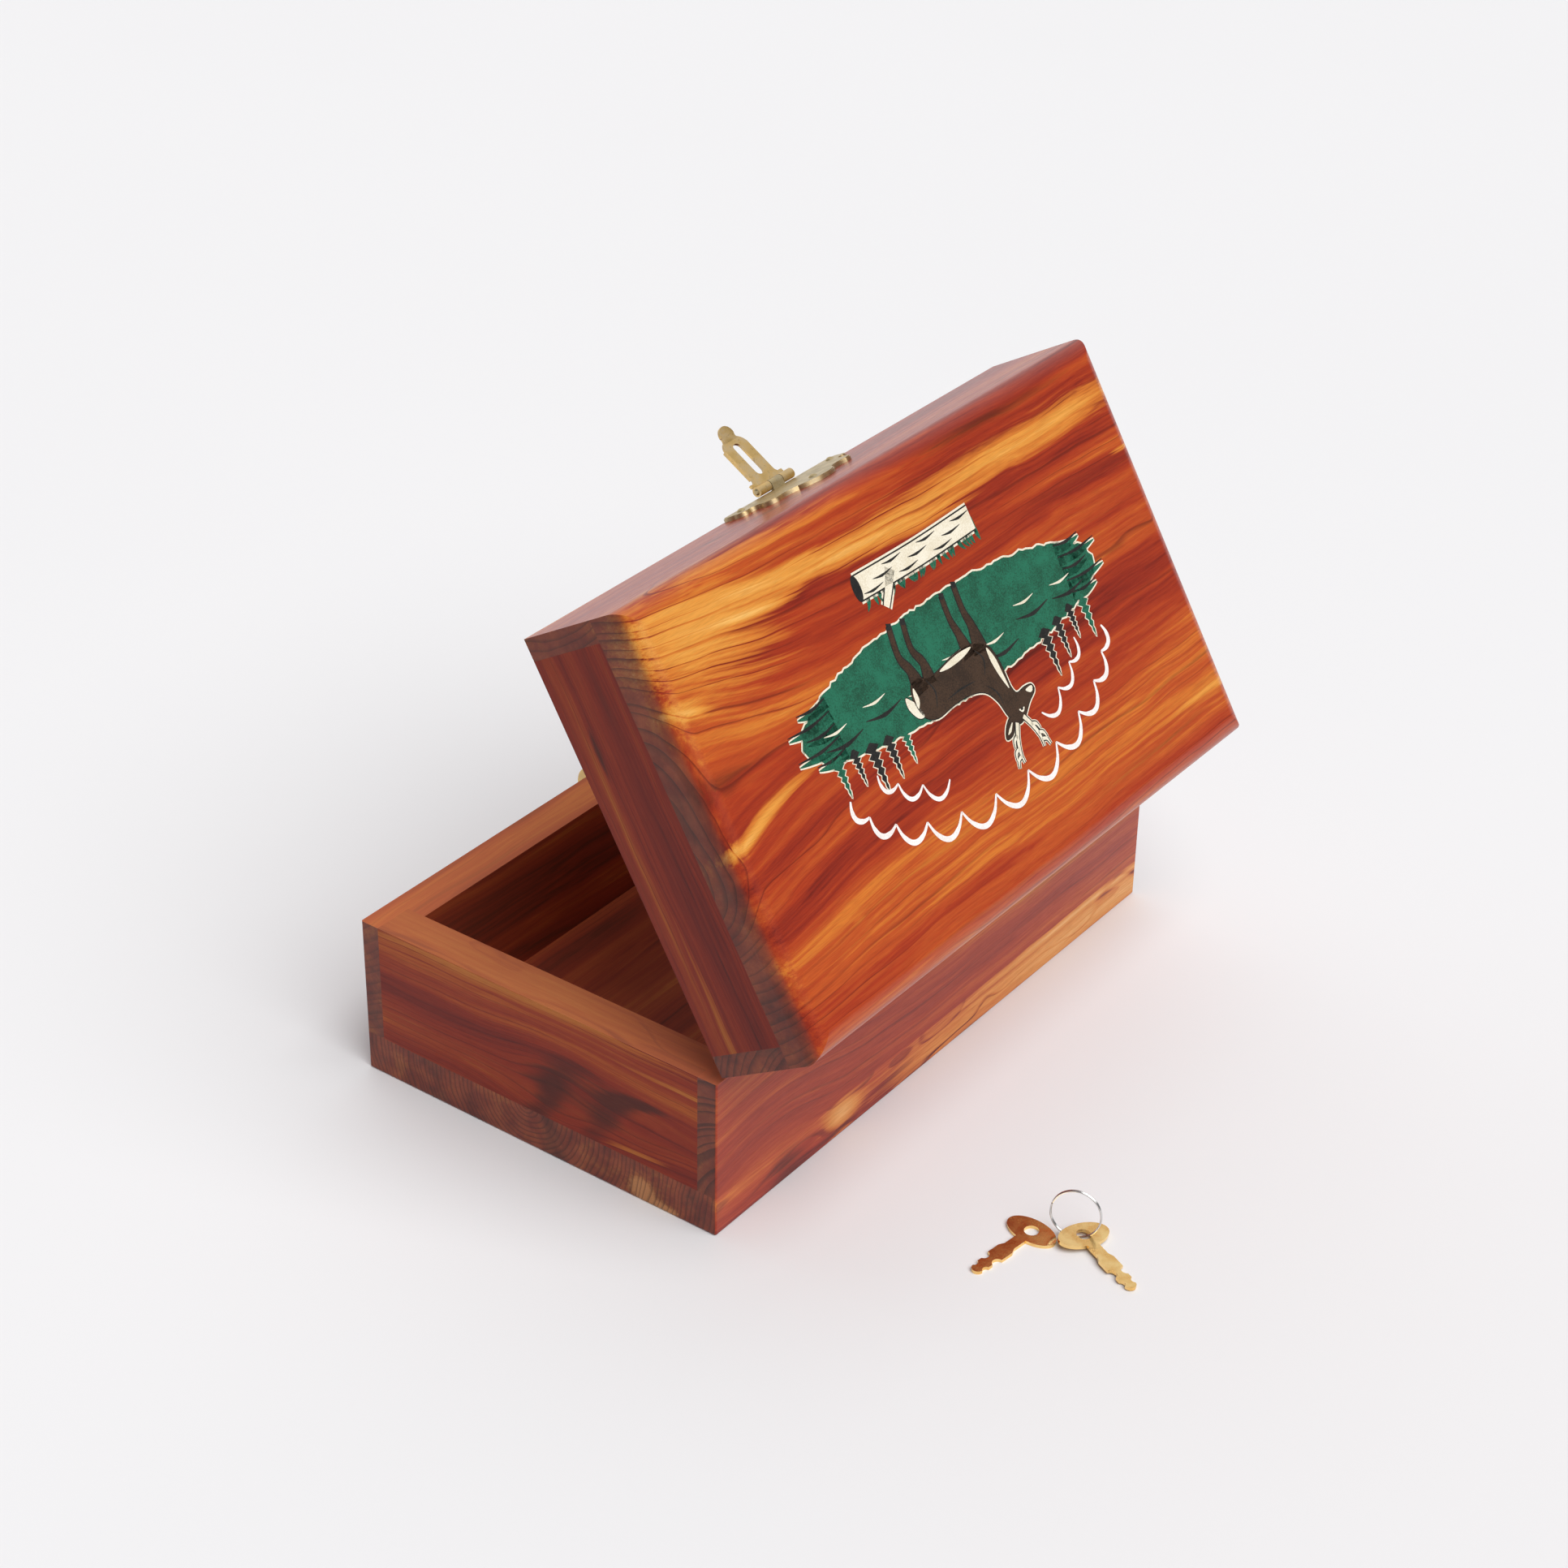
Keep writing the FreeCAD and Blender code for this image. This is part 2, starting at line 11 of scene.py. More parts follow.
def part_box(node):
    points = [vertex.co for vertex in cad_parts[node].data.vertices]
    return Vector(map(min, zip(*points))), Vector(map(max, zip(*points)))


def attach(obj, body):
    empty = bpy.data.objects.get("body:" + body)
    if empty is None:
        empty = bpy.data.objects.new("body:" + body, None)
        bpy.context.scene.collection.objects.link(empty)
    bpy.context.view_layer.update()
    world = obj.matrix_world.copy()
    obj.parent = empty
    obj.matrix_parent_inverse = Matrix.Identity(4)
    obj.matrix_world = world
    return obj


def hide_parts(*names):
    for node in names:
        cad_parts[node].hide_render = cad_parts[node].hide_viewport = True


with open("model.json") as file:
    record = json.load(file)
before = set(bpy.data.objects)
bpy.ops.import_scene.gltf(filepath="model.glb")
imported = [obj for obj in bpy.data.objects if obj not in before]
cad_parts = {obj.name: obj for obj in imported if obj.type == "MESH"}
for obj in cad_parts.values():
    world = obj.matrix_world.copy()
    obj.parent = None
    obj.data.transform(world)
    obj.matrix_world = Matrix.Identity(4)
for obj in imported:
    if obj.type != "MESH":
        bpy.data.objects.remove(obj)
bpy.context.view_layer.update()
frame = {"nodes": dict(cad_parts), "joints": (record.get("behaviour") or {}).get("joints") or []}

MM = 0.001
JOINTS = {joint["name"]: joint for joint in frame["joints"]}
HINGE = Vector(JOINTS["lid_hinge"]["pos_m"]) / MM
LID_ANGLE = math.radians(-JOINTS["lid_hinge"]["range_deg"][0])
BASE_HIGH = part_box("base_bottom_board")[1]
HALF_L = BASE_HIGH.x / MM
HALF_W = BASE_HIGH.y / MM
BOARD = BASE_HIGH.z / MM
BASE_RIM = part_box("base_front_wall")[1].z / MM
LID_HEIGHT = 38.1
LID_RIM = 2 * HINGE.z - BASE_RIM
LID_TOP = LID_RIM + LID_HEIGHT
FACE_MARGIN = 0.06


def add_object(name, data):
    thing = bpy.data.objects.new(name, data)
    bpy.context.scene.collection.objects.link(thing)
    return thing


# --- shader helper --------------------------------------------------------
class Shader:
    """One material's node tree; every method takes numbers or sockets and gives a socket."""

    def __init__(self, name):
        self.material = bpy.data.materials.new(name)
        self.material.use_nodes = True
        self.tree = self.material.node_tree
        self.tree.nodes.clear()
        self.surface = self.add("ShaderNodeBsdfPrincipled")
        output = self.add("ShaderNodeOutputMaterial")
        self.tree.links.new(self.surface.outputs[0], output.inputs[0])

    def add(self, kind, **settings):
        node = self.tree.nodes.new(kind)
        for name, value in settings.items():
            setattr(node, name, value)
        return node

    def feed(self, socket, value):
        if isinstance(value, bpy.types.NodeSocket):
            self.tree.links.new(value, socket)
        else:
            socket.default_value = value

    def set(self, **values):
        """Set the surface's own sockets; an underscore in a name stands for a space."""
        for name, value in values.items():
            self.feed(self.surface.inputs[name.replace("_", " ")], value)

    def math(self, operation, a, b=0.0, c=0.0, clamp=False):
        node = self.add("ShaderNodeMath", operation=operation, use_clamp=clamp)
        for socket, value in zip(node.inputs, (a, b, c)):
            self.feed(socket, value)
        return node.outputs[0]

    def vector(self, operation, a, b=(0, 0, 0)):
        node = self.add("ShaderNodeVectorMath", operation=operation)
        self.feed(node.inputs[0], a)
        self.feed(node.inputs[1], b)
        return node.outputs["Value" if operation in ("LENGTH", "DOT_PRODUCT") else "Vector"]

    def scaled(self, vector, factor):
        node = self.add("ShaderNodeVectorMath", operation="SCALE")
        self.feed(node.inputs[0], vector)
        self.feed(node.inputs["Scale"], factor)
        return node.outputs["Vector"]

    def mapping(self, vector, location=(0, 0, 0), rotation=(0, 0, 0), scale=(1, 1, 1), kind="POINT"):
        node = self.add("ShaderNodeMapping", vector_type=kind)
        self.feed(node.inputs["Vector"], vector)
        node.inputs["Location"].default_value = location
        node.inputs["Rotation"].default_value = rotation
        node.inputs["Scale"].default_value = scale
        return node.outputs[0]

    def noise(self, vector, scale=(1, 1, 1), detail=2.0, roughness=0.5, shift=(0, 0, 0), colour=False):
        node = self.add("ShaderNodeTexNoise")
        self.feed(node.inputs["Vector"], self.mapping(vector, shift, (0, 0, 0), scale))
        node.inputs["Scale"].default_value = 1.0
        node.inputs["Detail"].default_value = detail
        node.inputs["Roughness"].default_value = roughness
        return node.outputs[1 if colour else 0]

    def step(self, value, low, high, to_low=0.0, to_high=1.0):
        node = self.add("ShaderNodeMapRange", interpolation_type="SMOOTHSTEP")
        self.feed(node.inputs["Value"], value)
        node.inputs["From Min"].default_value = low
        node.inputs["From Max"].default_value = high
        node.inputs["To Min"].default_value = to_low
        node.inputs["To Max"].default_value = to_high
        return node.outputs[0]

    def ramp(self, value, stops):
        node = self.add("ShaderNodeValToRGB")
        elements = node.color_ramp.elements
        while len(elements) < len(stops):
            elements.new(0.5)
        for element, (place, colour) in zip(elements, stops):
            element.position = place
            element.color = (*colour, 1)
        self.feed(node.inputs[0], value)
        return node.outputs[0]

    def mix(self, factor, a, b, blend="MIX"):
        node = self.add("ShaderNodeMix", data_type="RGBA", blend_type=blend)
        self.feed(node.inputs[0], factor)
        for socket, value in ((node.inputs[6], a), (node.inputs[7], b)):
            self.feed(socket, value if isinstance(value, bpy.types.NodeSocket) else (*value, 1))
        return node.outputs[2]

    def blob(self, vector, centre, size, tilt=0.0):
        """1 at the centre of an ellipsoid, falling away smoothly; tilt turns it about the third axis."""
        local = self.mapping(vector, centre, (0, 0, tilt), size, "TEXTURE")
        squared = self.vector("DOT_PRODUCT", local, local)
        return self.math("EXPONENT", self.math("MULTIPLY", squared, -1.0))

    def total(self, values):
        result = values[0]
        for value in values[1:]:
            result = self.math("ADD", result, value)
        return result

    def bump(self, height, strength, distance):
        node = self.add("ShaderNodeBump")
        node.inputs["Strength"].default_value = strength
        node.inputs["Distance"].default_value = distance
        self.feed(node.inputs["Height"], height)
        self.feed(self.surface.inputs["Normal"], node.outputs[0])


# --- cedar ------------------------------------------------------------------
DARK_HEART = (0.100, 0.009, 0.005)
DEEP_HEART = (0.25, 0.020, 0.008)
RED_HEART = (0.38, 0.040, 0.010)
WARM_HEART = (0.49, 0.084, 0.015)
ORANGE_HEART = (0.62, 0.175, 0.024)
SAP_EDGE = (0.60, 0.17, 0.024)
SAP_MIDDLE = (0.72, 0.30, 0.050)
SAPWOOD = (0.84, 0.47, 0.13)
END_LIGHT = (0.23, 0.070, 0.032)
END_DARK = (0.11, 0.028, 0.016)
END_RING = (0.035, 0.010, 0.007)
END_SAP = (0.56, 0.28, 0.11)
KNOT_DARK = (0.06, 0.009, 0.006)
PORE = (0.03, 0.006, 0.003)
BARE_WOOD = (0.20, 0.070, 0.038)
SAWN_RIM = (0.52, 0.18, 0.085)
WALL_END_TINT = (0.66, 0.62, 0.66)


def closed_frame(shader, in_lid):
    """Object coordinates and normal in millimetres, with the lid turned back to shut."""
    source = shader.add("ShaderNodeTexCoord")
    turn = Matrix.Rotation(LID_ANGLE, 3, "X")
    if in_lid:
        place = shader.mapping(source.outputs["Object"], HINGE - turn @ HINGE, (LID_ANGLE, 0, 0),
                               (1 / MM,) * 3)
        normal = shader.mapping(source.outputs["Normal"], (0, 0, 0), (LID_ANGLE, 0, 0))
    else:
        place = shader.mapping(source.outputs["Object"], scale=(1 / MM,) * 3)
        normal = source.outputs["Normal"]
    return place, normal


def reordered(shader, vector, order):
    """The same vector with its axes in another order, such as "yzx"."""
    parts = shader.add("ShaderNodeSeparateXYZ")
    shader.feed(parts.inputs[0], vector)
    joined = shader.add("ShaderNodeCombineXYZ")
    for socket, axis in zip(joined.inputs, order):
        shader.feed(socket, parts.outputs["xyz".index(axis)])
    return joined.outputs[0]


def inside_mask(shader, place, z_low, z_high):
    """1 on the faces that look into the box, from their places between the inner faces."""
    parts = shader.add("ShaderNodeSeparateXYZ")
    shader.feed(parts.inputs[0], place)
    inner_x = HALF_L - BOARD + FACE_MARGIN
    inner_y = HALF_W - BOARD + FACE_MARGIN
    across = shader.math("LESS_THAN", shader.math("ABSOLUTE", parts.outputs[0]), inner_x)
    deep = shader.math("LESS_THAN", shader.math("ABSOLUTE", parts.outputs[1]), inner_y)
    above = shader.math("GREATER_THAN", parts.outputs[2], z_low - FACE_MARGIN)
    below = shader.math("LESS_THAN", parts.outputs[2], z_high + FACE_MARGIN)
    return shader.math("MULTIPLY", shader.math("MULTIPLY", across, deep),
                       shader.math("MULTIPLY", above, below))


def flowing(shader, board, shift, wander, knots):
    """Board coordinates bent as the grain bends: a slow wander, and parting round each knot."""
    slow = shader.noise(board, (0.0055, 0.020, 0.020), 1.0, 0.5, shift, colour=True)
    quick = shader.noise(board, (0.035, 0.09, 0.09), 1.0, 0.5, shift, colour=True)
    bend = shader.vector("MULTIPLY", shader.vector("SUBTRACT", slow, (0.5,) * 3), (0, wander, wander))
    ripple = shader.vector("MULTIPLY", shader.vector("SUBTRACT", quick, (0.5,) * 3), (0, 2.4, 2.4))
    flow = shader.vector("ADD", shader.vector("ADD", board, bend), ripple)
    for centre, size, parting in knots:
        away = shader.vector("MULTIPLY", shader.vector("SUBTRACT", flow, centre), (0, 1, 0))
        pull = shader.math("MULTIPLY", shader.blob(board, centre, size), -parting)
        flow = shader.vector("ADD", flow, shader.scaled(away, pull))
    return flow


def growth_rings(shader, flow, board, pith, spacing, shift, lined):
    """The late wood's dark lines: fine ones for long faces, wide ones for end grain. lined is
    the centre and size of a blob inside which every line shows, or None."""
    from_pith = shader.vector("SUBTRACT", flow, (0, *pith))
    radius = shader.vector("LENGTH", shader.vector("MULTIPLY", from_pith, (0, 1, 1)))
    uneven = shader.add("ShaderNodeTexNoise", noise_dimensions="1D")
    shader.feed(uneven.inputs["W"], shader.math("MULTIPLY_ADD", radius, 0.16, shift[0]))
    uneven.inputs["Scale"].default_value = 1.0
    phase = shader.math("MULTIPLY_ADD", radius, 1 / spacing,
                        shader.math("MULTIPLY", uneven.outputs[0], 1.7))
    cell = shader.math("FRACT", phase)
    closing = shader.step(cell, 0.95, 1.0, 1.0, 0.0)
    weight = shader.noise(board, (0.010, 0.06, 0.06), 1.0, 0.5, (shift[1], shift[2], shift[0]))
    fine = shader.math("MULTIPLY", shader.step(cell, 0.80, 0.95), closing)
    shown = shader.step(weight, 0.36, 0.66, 0.1, 1.0)
    if lined:
        shown = shader.math("MAXIMUM", shown, shader.step(shader.blob(board, *lined), 0.3, 0.7))
    fine = shader.math("MULTIPLY", fine, shown)
    wide = shader.math("MULTIPLY", shader.step(cell, 0.45, 0.92), closing)
    return fine, wide


def tinted(colour, tint):
    return tuple(channel * share for channel, share in zip(colour, tint))


def blobs(shader, flow, spots):
    """The sum of some blobs. A spot is a centre, a size, an amount and a tilt."""
    return shader.total([shader.math("MULTIPLY", shader.blob(flow, centre, size, tilt), amount)
                         for centre, size, amount, tilt in spots])


def with_dark(shader, wood, flow, spots, broad, grainy):
    """Dark smears in the heartwood, broken up along the grain."""
    shade = blobs(shader, flow, spots)
    shade = shader.math("MULTIPLY_ADD", shader.math("SUBTRACT", broad, 0.5), -1.2, shade)
    shade = shader.math("ADD", shade, grainy)
    return shader.mix(shader.step(shade, 0.25, 0.95, 0.0, 0.85), wood, KNOT_DARK)


def with_sapwood(shader, wood, flow, spots, broad, grainy, late, tint):
    """Yellow sapwood through an orange edge. The second result is its share of the end grain."""
    edge, middle, centre = (tinted(colour, tint) for colour in (SAP_EDGE, SAP_MIDDLE, SAPWOOD))
    pale = blobs(shader, flow, spots)
    pale = shader.math("MULTIPLY_ADD", grainy, 0.8, pale)
    pale = shader.math("MULTIPLY_ADD", shader.math("SUBTRACT", broad, 0.5), 0.9, pale)
    pale = shader.math("MULTIPLY_ADD", late, -0.30, pale)
    wood = shader.mix(shader.step(pale, 0.20, 0.50), wood, edge)
    wood = shader.mix(shader.step(pale, 0.42, 0.75), wood, middle)
    wood = shader.mix(shader.step(pale, 0.68, 1.2), wood, centre)
    return wood, shader.step(pale, 0.45, 0.9, 0.0, 0.7)


def end_grain(shader, wood, board, shift, late_end, pale_end, tint, end_lines):
    """End grain: duller and blotchy, with every ring showing."""
    dark, light, ring = (tinted(colour, tint) for colour in (END_DARK, END_LIGHT, END_RING))
    blotch = shader.noise(board, (0.06, 0.11, 0.11), 3.0, 0.55, shift)
    end_wood = shader.mix(shader.step(blotch, 0.36, 0.66), dark, light)
    end_wood = shader.mix(0.3, end_wood, wood)
    if pale_end is not None:
        end_wood = shader.mix(pale_end, end_wood, tinted(END_SAP, tint))
    return shader.mix(shader.math("MULTIPLY", late_end, end_lines), end_wood, ring)


def sawn_rim(shader, place, normal, rim, polish):
    """How much a face is the sawn rim, and the fuzz on it. rim is 1 for a rim that looks up
    and -1 for one that looks down."""
    up = shader.math("MULTIPLY", shader.vector("DOT_PRODUCT", normal, (0, 0, 1)), rim)
    flat = shader.math("MULTIPLY", shader.step(up, 0.8, 0.95), polish)
    fuzz = shader.math("MULTIPLY", shader.noise(place, (0.9,) * 3, 3.0, 0.6), flat)
    return flat, fuzz


def cedar(name, in_lid, order, pith, spacing, shift, sap=(), dark=(), knots=(), band=0.0, rim=0,
          wander=14.0, lines=0.45, contrast=0.20, tint=(1, 1, 1), end_tint=(1, 1, 1),
          lined=None, end_lines=0.85, sheen=0.42):
    """Red cedar sawn from one log. order gives the grain, width and thickness axes; pith is
    the log's centre in the width and thickness; sap, dark and knots are blobs in board axes."""
    shader = Shader(name)
    black, deep, red, warm, orange = (
        tinted(colour, tint) for colour in (DARK_HEART, DEEP_HEART, RED_HEART, WARM_HEART, ORANGE_HEART))
    place, normal = closed_frame(shader, in_lid)
    board = reordered(shader, place, order)
    facing = reordered(shader, normal, order)
    flow = flowing(shader, board, shift, wander, knots)
    late, late_end = growth_rings(shader, flow, board, pith, spacing, shift, lined)
    turned = (shift[2], shift[0], shift[1])
    broad = shader.noise(flow, (0.0028, 0.085, 0.085), 5.0, 0.6, turned)
    fibre = shader.noise(flow, (0.012, 0.9, 0.9), 3.0, 0.6, shift)
    fine = shader.noise(board, (0.25, 5.0, 5.0), 1.0, 0.5, shift)
    grainy = shader.math("SUBTRACT", fibre, 0.5)
    # heartwood: broad bands with finer streaks in them
    tone = shader.math("ADD", shader.step(broad, 0.5 - contrast, 0.5 + contrast), band)
    tone = shader.math("MULTIPLY_ADD", grainy, 0.75, tone)
    wood = shader.ramp(tone, [(0.0, black), (0.2, deep), (0.5, red), (0.8, warm), (1.0, orange)])
    wood = shader.mix(shader.math("MULTIPLY", late, lines), wood, black)
    pale_end = None
    if dark:
        wood = with_dark(shader, wood, flow, dark, broad, grainy)
    if sap:
        wood, pale_end = with_sapwood(shader, wood, flow, sap, broad, grainy, late, tint)
    along = shader.math("ABSOLUTE", shader.vector("DOT_PRODUCT", facing, (1, 0, 0)))
    end_wood = end_grain(shader, wood, board, turned, late_end, pale_end, end_tint, end_lines)
    wood = shader.mix(shader.step(along, 0.70, 0.97), wood, end_wood)
    wood = shader.mix(shader.step(fine, 0.35, 0.75, 0.0, 0.16), wood, PORE)
    # bare wood inside, and the sawn rims
    z_low, z_high = (LID_RIM, LID_TOP - BOARD) if in_lid else (BOARD, BASE_RIM)
    bare = inside_mask(shader, place, z_low, z_high)
    wood = shader.mix(shader.math("MULTIPLY", bare, 0.42), wood, BARE_WOOD)
    polish = shader.math("SUBTRACT", 1.0, bare)
    roughness = shader.step(fine, 0.3, 0.8, 0.38, 0.5)
    height = shader.total([shader.math("MULTIPLY", fibre, 0.35), shader.math("MULTIPLY", late, -0.15),
                           shader.math("MULTIPLY", fine, 0.3)])
    if rim:
        flat, fuzz = sawn_rim(shader, place, normal, rim, polish)
        wood = shader.mix(shader.math("MULTIPLY", flat, 0.55), wood, SAWN_RIM)
        roughness = shader.math("MAXIMUM", roughness, shader.math("MULTIPLY", flat, 0.75))
        polish = shader.math("SUBTRACT", polish, flat)
        height = shader.math("ADD", height, fuzz)
    shader.set(Base_Color=wood, Coat_Roughness=0.2, Coat_IOR=1.5, Specular_IOR_Level=0.12)
    shader.set(Coat_Weight=shader.math("MULTIPLY", polish, sheen))
    shader.set(Roughness=shader.math("MAXIMUM", roughness, shader.math("MULTIPLY", bare, 0.7)))
    shader.bump(height, 0.3, 0.00012)
    return shader.material


def lid_top_wood():
    """The lid's top: flat-sawn, with sapwood along the front and a swirl at the right end."""
    top = LID_TOP
    tilt = math.radians
    return cedar(
        "cedar_lid_top", True, "xyz", (-1, top - 21), 3.3, (3.1, 7.7, 1.9), wander=8, contrast=0.27,
        band=0.05, lines=0.62, end_tint=(0.75, 0.70, 0.68), lined=((100, -25, top), (48, 48, 60)),
        end_lines=0.45,
        sap=[((-62, -48.5, top), (85, 5.0, 12), 0.85, 0),
             ((30, -46, top), (60, 3.6, 12), 0.62, tilt(-4)),
             ((-98, 47, top), (30, 2.6, 8), 0.55, 0),
             ((99, -5.5, top), (30, 1.7, 8), 0.85, tilt(1)),
             ((66, -42, top), (17, 1.2, 8), 0.7, 0),
             ((103, -22.5, top), (9, 1.8, 8), 0.7, 0),
             ((92, -40, top), (34, 14, 12), 0.80, tilt(-3)),
             ((-102, -31, top), (9, 1.0, 8), 0.7, 0),
             ((60, -18, top), (50, 1.6, 10), 0.3, 0),
             ((60, -60, top), (50, 3, 10), 0.4, 0)],
        dark=[((-65, 52, top), (60, 2.2, 25), 0.6, 0),
              ((-60, -29, top), (70, 4, 25), 0.35, 0),
              ((-50, -58.5, top), (50, 1.8, 25), 0.75, 0),
              ((100, -13, top), (24, 1.6, 25), 0.55, 0),
              ((20, 58, top), (90, 1.5, 25), 0.4, 0),
              ((-3, 0, top - 9), (400, 11, 5), 0.55, 0)],
        knots=[((124, -13, top), (46, 36, 60), 0.82)])


def lid_right_wood():
    """The lid's right end: two thin pale stripes and two dark flecks, under a tint that darkens the whole
    end as painted shade for the side turned away from the light.
    """
    return cedar(
        "cedar_lid_right", True, "yzx", (140, 120), 2.6, (2.7, 3.9, 6.1), rim=-1, wander=5,
        # tint: painted shade, darkening this end because it faces away from the light
        contrast=0.30, tint=(0.60, 0.45, 0.42), sheen=0.2,
        sap=[((60, LID_RIM + 7.5, HALF_L), (40, 1.5, 20), 0.52, 0),
             ((-10, LID_RIM + 5, HALF_L), (50, 1.2, 20), 0.36, 0)],
        dark=[((-30, LID_RIM + 7.5, HALF_L), (8, 1.3, 20), 0.9, 0),
              ((-45, LID_RIM + 18, HALF_L), (20, 1.5, 20), 0.5, 0)])


def base_back_wood():
    """The base's back: bright bands that part round a knot near its right end."""
    return cedar(
        "cedar_base_back", False, "xzy", (-10, 84), 3.4, (6.3, 2.9, 5.0), band=0.16, rim=1, wander=10,
        contrast=0.34, tint=(0.98, 1.0, 1.15), end_tint=WALL_END_TINT, end_lines=0.6,
        dark=[((2, 44, HALF_W), (12, 5, 20), 0.6, 0)],
        knots=[((84, 6, HALF_W), (32, 26, 40), 0.75)])


def base_right_wood():
    """The base's right end: a pale upper edge, and dark smears that swirl at its middle, under a tint that
    darkens the whole end as painted shade for the side turned away from the light.
    """
    tilt = math.radians
    return cedar(
        "cedar_base_right", False, "yzx", (92, 96), 1.9, (8.6, 4.2, 7.4), band=0.05, rim=1, wander=4,
        # tint: painted shade, darkening this end because it faces away from the light
        lines=0.45, contrast=0.28, tint=(0.70, 0.52, 0.48), lined=((-25, 20, HALF_L), (60, 40, 40)),
        sheen=0.2,
        sap=[((56, 42.5, HALF_L), (30, 1.2, 20), 0.60, 0),
             ((-10, 49.5, HALF_L), (80, 2.6, 20), 0.74, 0),
             ((37, 17.5, HALF_L), (14, 1.3, 20), 0.66, 0)],
        dark=[((36, 29, HALF_L), (15, 2.6, 20), 1.0, tilt(14)),
              ((10, 27, HALF_L), (18, 6, 20), 0.75, tilt(20)),
              ((24, 21, HALF_L), (12, 4, 20), 0.7, tilt(30)),
              ((0, 17, HALF_L), (12, 3, 20), 0.6, tilt(35))],
        knots=[((8, 22, HALF_L), (20, 15, 40), 0.82), ((36, 24, HALF_L), (16, 9, 40), 0.6)])


def bottom_wood():
    """The bottom board: sapwood along the back edge, and rings about the pith at its ends."""
    return cedar(
        "cedar_bottom", False, "xyz", (-3, 14), 1.6, (0.8, 9.3, 2.6), band=0.02, wander=5, lines=0.6,
        tint=(1.0, 0.95, 1.25), end_tint=(1.15, 0.95, 0.85), end_lines=0.5,
        sap=[((-75, 66, 4), (85, 9, 6), 1.15, 0),
             ((-70, 66, 10.5), (60, 9, 1.4), 0.8, 0),
             ((10, 68, 5), (24, 5, 8), 0.8, 0),
             ((50, 64, 7), (9, 5, 6), 0.8, 0),
             ((104, 37, 4), (26, 5, 5), 1.3, 0),
             ((104, 46, 1), (26, 5, 2), 1.1, 0)],
        dark=[((76, 64, 6), (12, 8, 8), 0.7, 0),
              ((108, 5, 6), (20, 4, 12), 0.9, 0),
              ((108, 18, 5), (20, 9, 12), 0.5, 0)],
        knots=[((78, 64, 2), (18, 14, 14), 0.7)])


def wood_materials():
    """One material for each board, so that no two boards repeat a figure."""
    return {
        "lid_top_board": lid_top_wood(),
        "lid_front_wall": cedar("cedar_lid_front", True, "xzy", (60, -90), 2.4, (5.2, 1.1, 8.3), band=0.12,
                                rim=-1, contrast=0.3, end_tint=WALL_END_TINT, end_lines=0.4),
        "lid_back_wall": cedar("cedar_lid_back", True, "xzy", (95, 90), 2.2, (1.4, 6.6, 2.2), rim=-1,
                               end_lines=0.5, end_tint=WALL_END_TINT),
        "lid_left_end": cedar("cedar_lid_left", True, "yzx", (130, -140), 2.3, (9.1, 2.4, 4.8), rim=-1,
                              sap=[((20, 60, -HALF_L), (50, 3, 30), 0.6, 0)]),
        "lid_right_end": lid_right_wood(),
        "base_front_wall": cedar("cedar_base_front", False, "xzy", (90, -100), 2.5, (4.4, 8.8, 0.6), rim=1,
                                 end_tint=WALL_END_TINT, end_lines=0.3,
                                 sap=[((-50, 20, -HALF_W), (70, 4, 20), 0.6, 0)]),
        "base_back_wall": base_back_wood(),
        "base_left_end": cedar("cedar_base_left", False, "yzx", (110, -130), 2.2, (7.9, 5.5, 3.3), rim=1),
        "base_right_end": base_right_wood(),
        "base_bottom_board": bottom_wood(),
    }


# --- metals -----------------------------------------------------------------
def metal(name, colour, tarnish, roughness, speckle):
    """Worn metal: a base colour, tarnish in cloudy patches, and small dark pits."""
    shader = Shader(name)
    source = shader.add("ShaderNodeTexCoord").outputs["Object"]
    cloud = shader.noise(source, (220,) * 3, 3.0, 0.6)
    specks = shader.noise(source, (1120,) * 3, 2.0, 0.7)
    tint = shader.mix(shader.step(cloud, 0.38, 0.66), colour, tarnish)
    pit_share = 0.35
    dark = tuple(pit_share * channel for channel in tarnish)
    tint = shader.mix(shader.step(specks, 0.60, 0.72, 0.0, speckle), tint, dark)
    shader.set(Base_Color=tint, Metallic=1.0)
    shader.set(Roughness=shader.step(cloud, 0.3, 0.7, roughness, roughness + 0.14))
    shader.bump(specks, 0.25, 0.00005)
    return shader.material


def soften(*names):
    """Rounds the edges of pressed or stamped metal, as tumbling leaves them."""
    worn_width = 0.14
    for name in names:
        node = frame["nodes"][name]
        bevel = node.modifiers.new("worn edge", "BEVEL")
        bevel.width = worn_width * MM
        bevel.segments = 2
        bevel.limit_method = "ANGLE"
        bevel.angle_limit = math.radians(40)
        bevel.harden_normals = True


